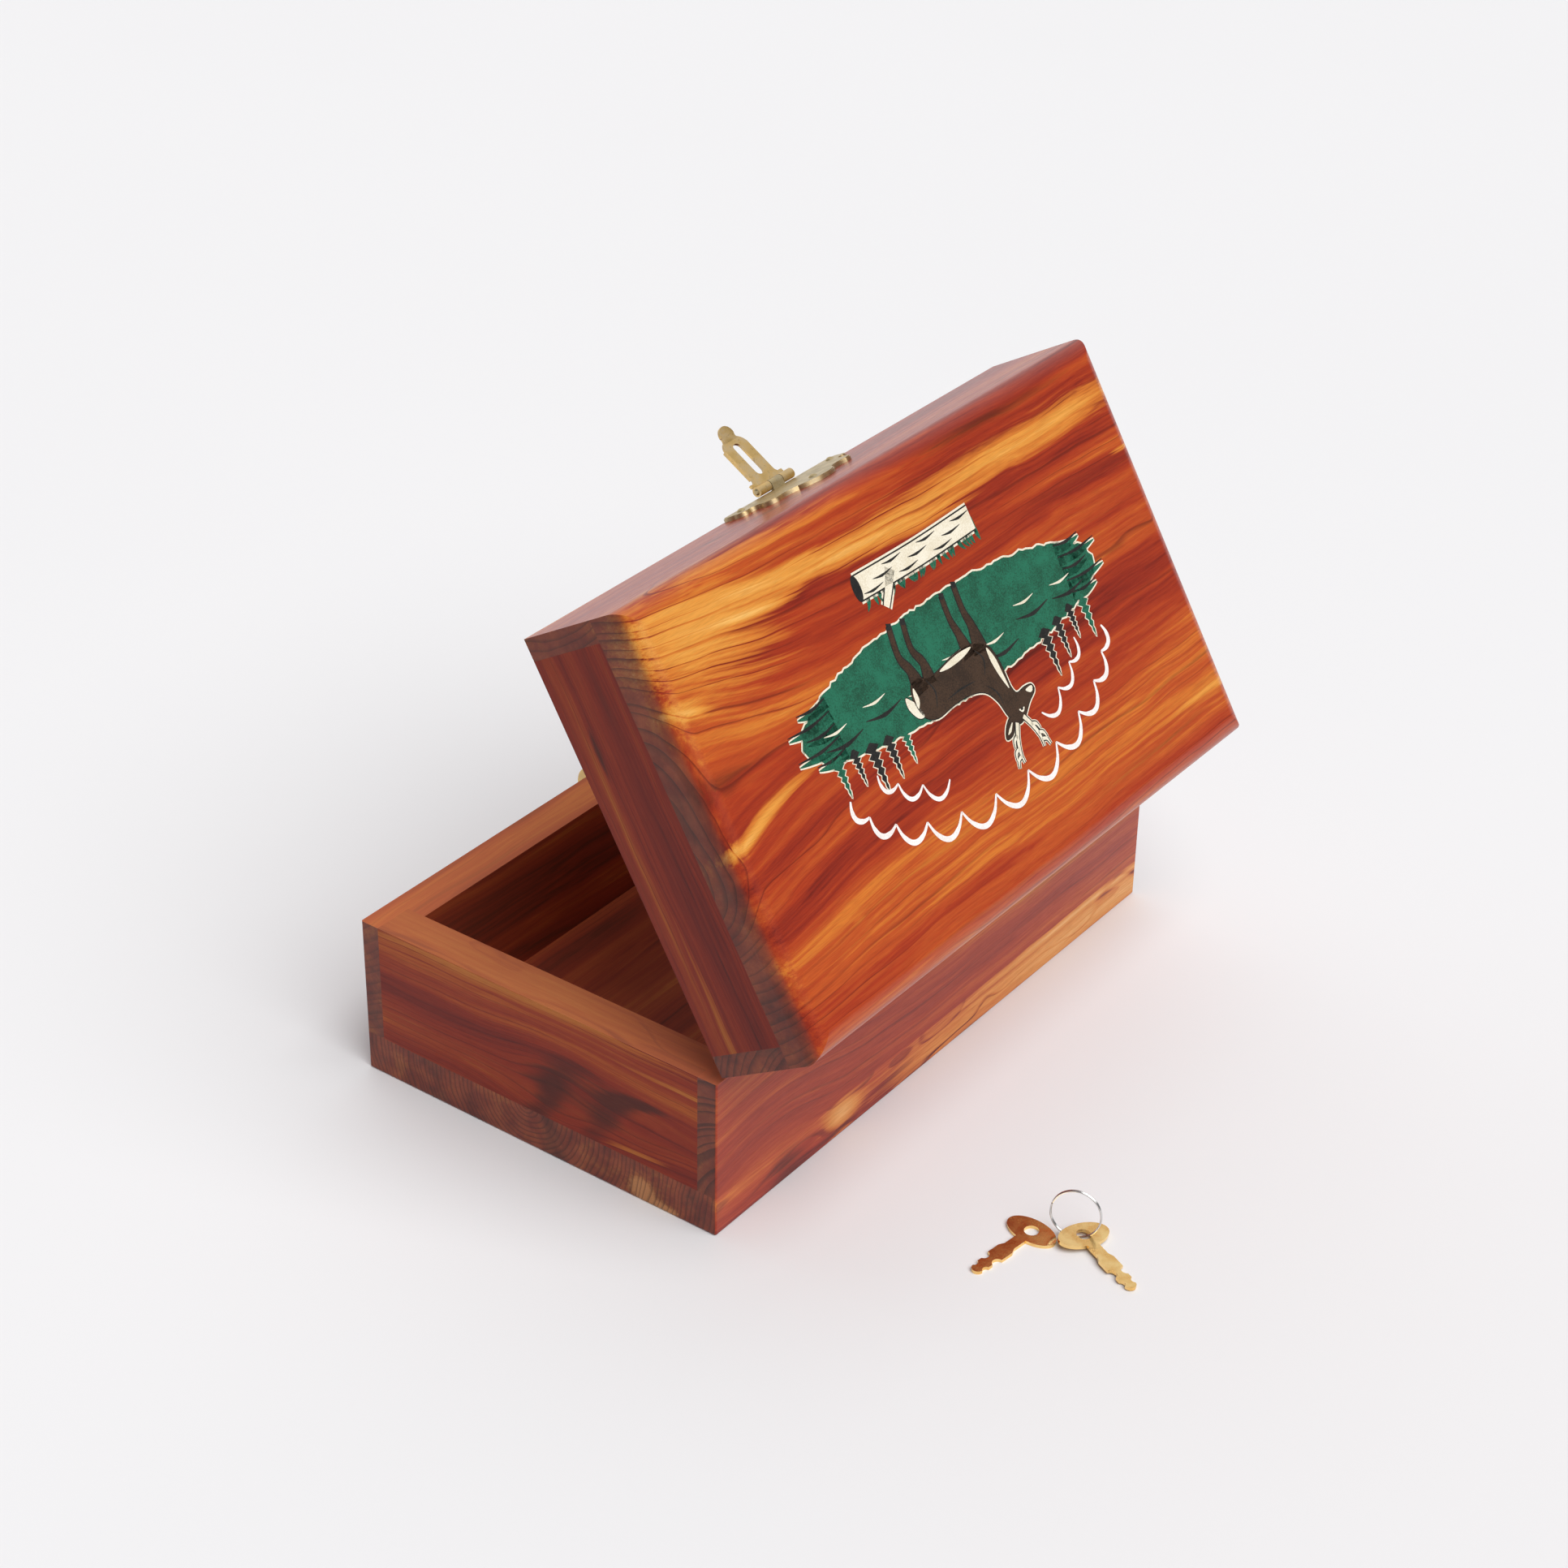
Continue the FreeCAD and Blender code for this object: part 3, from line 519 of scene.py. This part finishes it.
def split_ring(steel):
    """The key ring as two turns of wire that cross over once, in place of the plain ring."""
    turns = 2
    end_gap = 0.005
    first_angle = 2.2
    cross_start = 0.92
    cross_length = 0.16
    wire_share = 0.48
    joint = JOINTS["ring_turn"]
    axis = Vector(joint["axis"]).normalized()
    centre = Vector(joint["pos_m"])
    offsets = [vertex.co - centre for vertex in frame["nodes"]["key_ring"].data.vertices]
    reaches = [(offset - axis * offset.dot(axis)).length for offset in offsets]
    inner, outer = min(reaches), max(reaches)
    depth = max(offset.dot(axis) for offset in offsets)
    middle, half_wall = (inner + outer) / 2, (outer - inner) / 2
    side = axis.orthogonal().normalized()
    up = axis.cross(side)
    work = bmesh.new()
    sections = 150
    corners = 10
    loops = []
    for index in range(sections + 1):
        turn = turns * index / sections * (1 - end_gap)
        angle = math.tau * turn + first_angle
        crossing = min(max((turn - cross_start) / cross_length, 0.0), 1.0)
        shift = depth * (crossing * crossing * (3 - 2 * crossing) - 0.5)
        spoke = side * math.cos(angle) + up * math.sin(angle)
        middle_point = centre + spoke * middle + axis * shift
        loop = []
        for corner in range(corners):
            around = math.tau * corner / corners
            loop.append(work.verts.new(middle_point + spoke * half_wall * math.cos(around)
                                       + axis * depth * wire_share * math.sin(around)))
        loops.append(loop)
    for first, second in zip(loops, loops[1:]):
        for corner in range(corners):
            after = (corner + 1) % corners
            work.faces.new((first[corner], second[corner], second[after], first[after])).smooth = True
    work.faces.new(loops[0])
    work.faces.new(loops[-1][::-1])
    bmesh.ops.recalc_face_normals(work, faces=work.faces)
    mesh = bpy.data.meshes.new("split_ring")
    work.to_mesh(mesh)
    work.free()
    mesh.materials.append(steel)
    ring = add_object("split_ring", mesh)
    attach(ring, "ring")
    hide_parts("key_ring")


def assign(material, *names):
    for name in names:
        mesh = frame["nodes"][name].data
        mesh.materials.clear()
        mesh.materials.append(material)


# --- the printed scene on the lid ---------------------------------------------
CLOUD_HALF = 62.0
CLOUD_LOW = 7.0
CLOUD_RISE = 26.0
CLOUD_COUNT = 11
CLOUD_FROM = 8.0
CLOUD_BULGE = 0.42
INNER_CLOUD = {"low": 0, "half": 52, "rise": 24}
INNER_COUNT = 3
MEADOW_HALF = 70.0
MEADOW_LEVEL = -8
MEADOW_RISE = 13.5
MEADOW_DROP = 15.5
STAG_SIZE = 0.86
PRINT_SEED = 7
LAYERS = {"halo": 0.012, "ground": 0.018, "outline": 0.026, "body": 0.034, "light": 0.041, "detail": 0.047}


class Print:
    """Flat ink shapes on the lid's top, gathered as one mesh for each ink. Places are in
    millimetres on the shut lid: x to the right and y toward the hinges."""

    def __init__(self):
        self.inks = {}

    def add(self, ink, layer, points, faces):
        corners, polygons = self.inks.setdefault(ink, ([], []))
        first = len(corners)
        corners.extend((x, y, LID_TOP + LAYERS[layer]) for x, y in points)
        polygons.extend(tuple(first + index for index in face) for face in faces)

    def fill(self, ink, layer, outline):
        flat = [Vector((x, y, 0)) for x, y in outline]
        self.add(ink, layer, outline, mathutils.geometry.tessellate_polygon([flat]))

    def stroke(self, ink, layer, path, widths, steps=7):
        """A brush line along a smooth path, with its widths spread evenly along it."""
        line = smooth(path, False, steps)
        points = []
        last = len(line) - 1
        for index, (x, y) in enumerate(line):
            before = line[max(index - 1, 0)]
            after = line[min(index + 1, last)]
            dx, dy = after[0] - before[0], after[1] - before[1]
            length = math.hypot(dx, dy) or 1.0
            spot = index / last * (len(widths) - 1)
            low = min(int(spot), len(widths) - 2)
            half = (widths[low] + (widths[low + 1] - widths[low]) * (spot - low)) / 2
            points.append((x - dy / length * half, y + dx / length * half))
            points.append((x + dy / length * half, y - dx / length * half))
        self.add(ink, layer, points, [(2 * i, 2 * i + 1, 2 * i + 3, 2 * i + 2) for i in range(last)])

    def shape(self, ink, outline, layer="body", edge=0.55, halo=1.3):
        """A filled shape with a dark drawn edge and a pale margin outside it."""
        ring = list(outline) + [outline[0], outline[1]]
        if halo:
            self.stroke("cream", "halo", ring, (halo, halo), 1)
        if edge:
            self.stroke("black", "outline", ring, (edge, edge), 1)
        self.fill(ink, layer, outline)

    def limb(self, ink, path, widths, edge=0.8, halo=0.0):
        """A tapering limb or branch, drawn with a dark edge and a pale margin."""
        if halo:
            self.stroke("cream", "halo", path, [width + edge + halo for width in widths])
        self.stroke("black", "outline", path, [width + edge for width in widths])
        self.stroke(ink, "light" if ink == "cream" else "body", path, widths)


class Placed:
    """Draws on a print with everything made smaller or larger, and moved."""

    def __init__(self, art, size, offset):
        self.art = art
        self.size = size
        self.offset = offset

    def moved(self, points):
        return [(x * self.size + self.offset[0], y * self.size + self.offset[1]) for x, y in points]

    def fill(self, ink, layer, outline):
        self.art.fill(ink, layer, self.moved(outline))

    def stroke(self, ink, layer, path, widths, steps=7):
        self.art.stroke(ink, layer, self.moved(path), [width * self.size for width in widths], steps)

    def shape(self, ink, outline, layer="body", edge=0.55, halo=1.3):
        self.art.shape(ink, self.moved(outline), layer, edge, halo)

    def limb(self, ink, path, widths, edge=0.8, halo=0.0):
        self.art.limb(ink, self.moved(path), [width * self.size for width in widths], edge, halo)


def smooth(points, closed=True, steps=6):
    """Points of a Catmull-Rom curve through the given ones."""
    count = len(points)
    result = []
    for index in range(count if closed else count - 1):
        if closed:
            p0, p1, p2, p3 = (points[(index + k) % count] for k in (-1, 0, 1, 2))
        else:
            p0, p1, p2, p3 = (points[min(max(index + k, 0), count - 1)] for k in (-1, 0, 1, 2))
        for step in range(steps):
            t = step / steps
            result.append(tuple(
                0.5 * (2 * b + (c - a) * t + (2 * a - 5 * b + 4 * c - d) * t * t
                       + (3 * b - a - 3 * c + d) * t ** 3)
                for a, b, c, d in zip(p0, p1, p2, p3)))
    if not closed:
        result.append(tuple(points[-1]))
    return result


def ragged(points, chance, amount=0.45, step=1.6):
    """A closed outline with an inky, uneven edge."""
    result = []
    for (x1, y1), (x2, y2) in zip(points, points[1:] + points[:1]):
        pieces = max(1, round(math.hypot(x2 - x1, y2 - y1) / step))
        for piece in range(pieces):
            t = piece / pieces
            jolt = 0.0 if piece == 0 else amount
            result.append((x1 + (x2 - x1) * t + chance.uniform(-jolt, jolt),
                           y1 + (y2 - y1) * t + chance.uniform(-jolt, jolt)))
    return result


def arch_point(angle, low, half, rise):
    """A place on an arch over the scene, at an angle in degrees from the right."""
    turn = math.radians(angle)
    return half * math.cos(turn), low + rise * math.sin(turn)


def scallop(start, end):
    """Points of an arc from start to end that bulges away from the scene."""
    (x1, y1), (x2, y2) = start, end
    pieces = 8
    path = []
    for piece in range(pieces + 1):
        t = piece / pieces
        lift = CLOUD_BULGE * math.sin(math.pi * t) ** 0.75
        path.append((x1 + (x2 - x1) * t + (y2 - y1) * lift, y1 + (y2 - y1) * t - (x2 - x1) * lift))
    return path


def draw_cloud_row(art, first, last, count, arch, weight):
    """White scallops set evenly along an arch, from one angle to another."""
    pace = (last - first) / count
    widths = [weight * width for width in (0.6, 1.5, 1.6, 1.5, 0.6)]
    for index in range(count):
        start = arch_point(first + pace * index, **arch)
        end = arch_point(first + pace * (index + 1), **arch)
        art.stroke("white", "light", scallop(start, end), widths, 3)


def draw_clouds(art):
    """The same arch of scallops as the CAD film's, and a short row inside it on each side."""
    outer = {"low": CLOUD_LOW, "half": CLOUD_HALF, "rise": CLOUD_RISE}
    draw_cloud_row(art, CLOUD_FROM, 180 - CLOUD_FROM, CLOUD_COUNT, outer, 1.0)
    for first, last in ((22, 64), (116, 158)):
        draw_cloud_row(art, first, last, INNER_COUNT, INNER_CLOUD, 0.8)


def draw_spruce(art, ink, x, foot, height, width):
    """A plain spruce: a trunk with evenly spaced tiers."""
    tiers = 6
    waist = 0.3
    trunk_half = 0.4
    trunk_foot = foot - 1.5
    sides = {1: [], -1: []}
    for tier in range(tiers):
        high = foot + height * (1 - tier / tiers)
        low = foot + height * (1 - (tier + 1) / tiers)
        reach = width / 2 * (tier + 1) / tiers
        for side, edge in sides.items():
            edge += [(x + side * reach * waist, (high + low) / 2 + 0.2), (x + side * reach, low + 0.1)]
    trunk = [(x + trunk_half, trunk_foot), (x - trunk_half, trunk_foot)]
    outline = [(x, foot + height)] + sides[1] + trunk + sides[-1][::-1]
    art.fill(ink, "outline", outline)
    art.stroke("cream", "halo", outline + outline[:2], (0.8, 0.8), 1)


def meadow_edge(x, side):
    """The meadow's upper (side 1) or lower (side -1) edge, a low bow that meets at both ends."""
    bow = math.sqrt(max(0.0, 1 - (x / MEADOW_HALF) ** 2))
    return MEADOW_LEVEL + (MEADOW_RISE * bow ** 0.8 if side > 0 else -MEADOW_DROP * bow)


def draw_grass(art):
    """Tongues of grass at both ends of the meadow, long and short by turns."""
    tongues = 5
    lowest, pace = -15.5, 3.6
    rooted = MEADOW_HALF - 15
    for side in (-1, 1):
        for index in range(tongues):
            y = lowest + pace * index
            root = side * rooted
            reach = side * (MEADOW_HALF + (3.5 if index % 2 else -2.5))
            blade = [(root, y), ((root + reach) / 2, y + 0.9), (reach, y + 0.2)]
            art.stroke("cream", "halo", blade, (4.4, 3.4, 1.0))
            art.stroke("green", "ground", blade, (3.4, 2.4, 0.2))
            art.stroke("black", "outline", [(x, y - 1.1) for x, y in blade], (0.2, 1.0, 0.2))


def draw_meadow(art, chance):
    steps = 14
    across = [MEADOW_HALF * math.cos(math.pi * step / steps) for step in range(steps + 1)]
    upper = [(x, meadow_edge(x, 1)) for x in across]
    lower = [(x, meadow_edge(x, -1)) for x in across[-2:0:-1]]
    art.shape("green", ragged(upper + lower, chance), "ground", 0.0, 1.1)
    draw_grass(art)
    # shadows that follow the lie of the land, and pale paths between them
    for index in range(7):
        x = -54 + 18 * index
        y = meadow_edge(x, 1) - 4.5 - 3.5 * (index % 2)
        shadow = [(x - 8, y - 0.6), (x, y + 0.5), (x + 8, y - 0.8)]
        path = [(x - 3, y - 4.4), (x + 2, y - 3.8), (x + 7, y - 4.6)]
        art.stroke("black", "outline", shadow, (0.2, 1.2, 0.2))
        art.stroke("cream", "outline", path, (0.1, 0.8, 0.1))
    # spruces in two groups, in three heights by turns
    for index, x in enumerate((-58, -51, -44, -37, 32, 39, 46, 53, 60)):
        height = (13, 9, 11)[index % 3]
        ink = "green" if index % 4 == 0 else "black"
        draw_spruce(art, ink, x, meadow_edge(x, 1) - 0.8, height, 0.48 * height)


def draw_antler(pen, x, y, lean):
    """One antler: a beam that bows outward, with three tines on its outer side."""
    length = 12.5
    bow = 4.2
    bend = 1.9
    beam = [(x + lean * bow * math.sin(bend * t), y + length * t) for t in (0, 0.3, 0.6, 0.8, 1.0)]
    pen.limb("cream", beam, (1.6, 1.3, 0.4), 0.7, 0.5)
    for tine_x, tine_y in beam[1:4]:
        tip = (tine_x + lean * 3.2, tine_y + 3.2)
        tine = [(tine_x, tine_y), (tine_x + lean * 2.2, tine_y + 0.8), tip]
        pen.limb("cream", tine, (1.2, 1.0, 0.3), 0.7, 0.5)


def draw_stag_head(pen):
    ear = [(-13.6, 22), (-10.6, 25.4), (-7, 25.6), (-8.6, 22.6), (-12, 20.4)]
    inner_ear = [(-12.4, 22), (-10, 23.8), (-8.4, 24.6)]
    muzzle = [(-28, 16.8), (-26.4, 17.2), (-24.6, 15.6), (-28, 15.4)]
    pen.shape("brown", smooth(ear), "light")
    pen.stroke("cream", "detail", inner_ear, (0.3, 1.2, 0.2))
    pen.fill("cream", "light", smooth(muzzle))
    pen.stroke("black", "detail", [(-28.8, 17.2), (-28.2, 16.4)], (1.2, 0.8), 2)
    pen.stroke("cream", "light", [(-20.8, 20), (-19.4, 20.6), (-18, 19.8)], (0.3, 1.3, 0.3))
    pen.stroke("black", "detail", [(-20, 20.1), (-18.8, 20.1)], (0.8, 0.8), 2)
    draw_antler(pen, -14.6, 23, 1)
    draw_antler(pen, -18.6, 22.4, -1)


def draw_stag(art):
    """A stag of no particular kind, standing still and seen square from its side, with its
    head to the left."""
    pen = Placed(art, STAG_SIZE, (1, 0))
    far_legs = ([(-6, -4), (-5.2, -12), (-4, -18), (-4.4, -26)],
                [(16, -4), (15.6, -11), (18.2, -17), (17, -26)])
    near_legs = ([(-12, -3), (-12.4, -12), (-11.4, -18), (-11.8, -27)],
                 [(21.5, -3), (22.4, -11), (25, -17), (23.8, -27)])
    tail = [(24.5, 3.5), (27.5, 3), (30, -1), (29.6, -4.6), (27.4, -3), (25.4, -0.5)]
    body = [(24.5, 4), (19, 6.6), (10, 6), (1, 6.4), (-6, 8.6), (-10, 13.5), (-12, 19.5),
            (-15.4, 23.6), (-19.4, 22.8), (-24.2, 19.6), (-28.4, 17.4), (-28.2, 15.2),
            (-24.4, 14.6), (-20.2, 14.8), (-18.6, 12), (-18.4, 7), (-18, 1.5), (-15.6, -4),
            (-9, -7.2), (0, -7.8), (9, -6.4), (16, -6), (21, -8), (25, -7), (26.6, -2)]
    throat = [(-17.6, 12), (-17.4, 6), (-16.8, 0.5), (-14.8, -3.6), (-14.4, 1), (-15.6, 7)]
    belly = [(-8, -6.7), (0, -7.2), (10, -5.8), (5, -4.8), (-3, -5.2)]
    rump = [(25.8, 0.5), (25.6, -4), (24.4, -6), (23.8, -2)]
    creases = ([(-9, 4), (-11.5, -1), (-9, -5)], [(18, 4), (15.6, -1), (17.6, -6)],
               [(-12, 16), (-11.4, 11), (-8, 7)], [(-4, 3.6), (4, 3), (12, 3.4)])
    for leg in far_legs:
        pen.limb("brown", leg, (6.5, 3.0, 2.0, 1.8))
    pen.shape("cream", smooth(tail))
    pen.shape("brown", smooth(body, True, 5))
    for leg in near_legs:
        pen.limb("brown", leg, (8.0, 3.4, 2.2, 1.9))
    for leg in far_legs + near_legs:
        x, y = leg[-1]
        pen.stroke("black", "detail", [(x + 0.3, y + 1.2), (x - 0.4, y - 0.8)], (1.7, 2.6), 2)
    for patch in (throat, belly, rump):
        pen.fill("cream", "light", smooth(patch))
    for crease in creases:
        pen.stroke("black", "detail", crease, (0.1, 0.7, 0.1), 5)
    draw_stag_head(pen)


def draw_log(art, chance):
    """A plain sawn log with one stub, with grass growing behind it."""
    left, right, middle, half = -27, 27, -36.5, 3.4
    for index in range(24):
        x = left + 2.2 * index + chance.uniform(0, 1.5)
        lean = chance.uniform(-2.5, 2.5)
        blade = [(x, middle), (x + lean * 0.3, middle + half + 1.4), (x + lean, middle + half + 3.6)]
        art.stroke("green", "halo", blade, (1.6, 1.6, 0.1), 3)
    stub = [(12, middle), (15, middle + 4), (19, middle + 8.5)]
    trunk = [(left, middle), (0, middle + 0.5), (right, middle)]
    art.limb("cream", stub, (4, 2.8, 2.2), 0.9, 1.2)
    art.limb("cream", trunk, (2 * half,) * 3, 0.9, 1.2)
    corners = 20
    end = []
    for corner in range(corners):
        around = math.tau * corner / corners
        end.append((right + 1.7 * math.cos(around), middle + half * 1.12 * math.sin(around)))
    art.fill("black", "detail", end)
    # bark marks in three rows by turns
    for index in range(9):
        x = left + 2 + 5.4 * index
        y = middle - 2.2 + 2.2 * (index % 3)
        art.stroke("black", "detail", [(x - 2, y), (x + 3, y + 0.5), (x + 7, y)], (0.1, 0.8, 0.1), 4)


def print_scene():
    """The decal on the lid's top: cloud scallops, a meadow with spruces, a stag and a log. It is
    a plain stand-in for the printed picture, in its place, its size and its colours."""
    chance = random.Random(PRINT_SEED)
    art = Print()
    draw_clouds(art)
    draw_meadow(art, chance)
    draw_stag(art)
    draw_log(art, chance)
    turn = Matrix.Rotation(-LID_ANGLE, 3, "X")
    up = turn @ Vector((0, 0, 1))
    for ink, (corners, faces) in art.inks.items():
        opened = [(HINGE + turn @ (Vector(corner) - HINGE)) * MM for corner in corners]
        mesh = bpy.data.meshes.new("print_" + ink)
        mesh.from_pydata(opened, [], faces)
        piece = add_object("print_" + ink, mesh)
        work = bmesh.new()
        work.from_mesh(mesh)
        work.normal_update()
        bmesh.ops.reverse_faces(work, faces=[face for face in work.faces if face.normal.dot(up) < 0])
        work.to_mesh(mesh)
        work.free()
        mesh.materials.append(ink_material(ink))
        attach(piece, "lid")
        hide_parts("lid_print")


INKS = {
    "white": ((0.80, 0.72, 0.68), (0.90, 0.86, 0.84)),
    "cream": ((0.72, 0.64, 0.48), (0.84, 0.78, 0.64)),
    "green": ((0.010, 0.070, 0.038), (0.016, 0.15, 0.085)),
    "brown": ((0.030, 0.017, 0.010), (0.060, 0.032, 0.018)),
    "black": ((0.010, 0.010, 0.010), (0.024, 0.022, 0.020)),
}


def ink_material(ink):
    """Screen-printed ink under lacquer: two tones in a fine stipple."""
    shader = Shader("ink_" + ink)
    source = shader.add("ShaderNodeTexCoord").outputs["Object"]
    stipple = shader.noise(source, (2600,) * 3, 1.0, 0.6)
    cloud = shader.noise(source, (160,) * 3, 2.0, 0.6)
    mixed = shader.math("MULTIPLY_ADD", cloud, 0.5, shader.math("MULTIPLY", stipple, 0.7))
    shader.set(Base_Color=shader.mix(shader.step(mixed, 0.45, 0.72), *INKS[ink]))
    shader.set(Roughness=shader.step(stipple, 0.3, 0.7, 0.42, 0.55), Specular_IOR_Level=0.22)
    shader.set(Coat_Weight=0.25, Coat_Roughness=0.25)
    shader.bump(stipple, 0.15, 0.00003)
    return shader.material


# --- stage -------------------------------------------------------------------
def add_camera():
    """Camera at the height and bearing from which the box is seen, looking down at its back."""
    bearing = math.radians(126.204)
    rise = math.radians(31.355)
    roll = math.radians(-0.983)
    place = Vector((0.661674, 0.489196, 0.569631))
    back = Vector((math.sin(bearing) * math.cos(rise), -math.cos(bearing) * math.cos(rise), math.sin(rise)))
    right = (-back).cross(Vector((0, 0, 1))).normalized()
    down = (-back).cross(right)
    turned_right = right * math.cos(roll) + down * math.sin(roll)
    turned_down = down * math.cos(roll) - right * math.sin(roll)
    camera = add_object("camera", bpy.data.cameras.new("camera"))
    axes = Matrix((turned_right, -turned_down, back)).transposed()
    camera.matrix_world = Matrix.Translation(place) @ axes.to_4x4()
    camera.data.lens = 75.55
    camera.data.sensor_width = 36
    camera.data.clip_start = 0.01
    bpy.context.scene.camera = camera


def add_soft_sun(toward, strength, spread):
    """Studio light from far off, spread so wide that its shadows are soft."""
    data = bpy.data.lights.new("softbox", "SUN")
    data.energy = strength
    data.angle = math.radians(spread)
    light = add_object("softbox", data)
    light.rotation_euler = (-Vector(toward)).to_track_quat("-Z", "Y").to_euler()


def add_world():
    """A pale room, brightest on the side that the lid's front looks toward."""
    bright_side = Vector((-0.55, -0.70, 0.45)).normalized()
    fade = {"From Min": 0.35, "From Max": 0.92, "To Min": 0.12, "To Max": 0.82}
    world = bpy.data.worlds.new("studio")
    bpy.context.scene.world = world
    world.use_nodes = True
    nodes, links = world.node_tree.nodes, world.node_tree.links
    source = nodes.new("ShaderNodeTexCoord")
    facing = nodes.new("ShaderNodeVectorMath")
    facing.operation = "DOT_PRODUCT"
    facing.inputs[1].default_value = bright_side
    strength = nodes.new("ShaderNodeMapRange")
    strength.interpolation_type = "SMOOTHSTEP"
    for name, value in fade.items():
        strength.inputs[name].default_value = value
    links.new(source.outputs["Generated"], facing.inputs[0])
    links.new(facing.outputs["Value"], strength.inputs[0])
    links.new(strength.outputs[0], nodes["Background"].inputs["Strength"])
    nodes["Background"].inputs["Color"].default_value = (1.0, 0.995, 1.0, 1)


def add_stage():
    """A wide sheet of pale paper under one soft light."""
    side = 30.0
    corners = [(-side, -side, 0), (side, -side, 0), (side, side, 0), (-side, side, 0)]
    mesh = bpy.data.meshes.new("floor")
    mesh.from_pydata(corners, [], [(0, 1, 2, 3)])
    floor = add_object("floor", mesh)
    shader = Shader("floor_paper")
    source = shader.add("ShaderNodeTexCoord").outputs["Object"]
    cloud = shader.noise(source, (3, 3, 3), 2.0)
    paper = shader.mix(cloud, (0.795, 0.79, 0.80), (0.81, 0.805, 0.815))
    shader.set(Base_Color=paper, Roughness=0.6, Specular_IOR_Level=0.2)
    mesh.materials.append(shader.material)
    add_soft_sun((0.10, 0.56, 0.82), 3.12, 55)
    bpy.context.scene.view_settings.view_transform = "Standard"


add_camera()
add_world()
add_stage()
for node, material in wood_materials().items():
    assign(material, node)
flap_brass = metal("flap_brass", (0.82, 0.56, 0.22), (0.66, 0.50, 0.28), 0.36, 0.4)
plate_brass = metal("plate_brass", (0.60, 0.47, 0.25), (0.50, 0.41, 0.25), 0.36, 0.35)
hinge_brass = metal("hinge_brass", (0.60, 0.46, 0.22), (0.42, 0.32, 0.17), 0.38, 0.3)
key_brass = metal("key_brass", (0.96, 0.68, 0.29), (0.90, 0.57, 0.20), 0.15, 0.1)
ring_steel = metal("ring_steel", (0.74, 0.73, 0.72), (0.60, 0.60, 0.59), 0.14, 0.1)
assign(flap_brass, "hasp_flap", "turning_eye")
assign(plate_brass, "hasp_plate", "hasp_plate_nails", "hasp_pin", "staple_plate", "staple_plate_nails")
assign(hinge_brass, "left_hinge_base_leaf", "left_hinge_lid_leaf", "left_hinge_pin",
       "right_hinge_base_leaf", "right_hinge_lid_leaf", "right_hinge_pin",
       "hinge_base_screws", "hinge_lid_screws")
assign(key_brass, "key_1", "key_2")
soften("hasp_flap", "hasp_plate", "staple_plate", "turning_eye", "key_1", "key_2")
soften("left_hinge_base_leaf", "left_hinge_lid_leaf", "right_hinge_base_leaf", "right_hinge_lid_leaf")
split_ring(ring_steel)
print_scene()
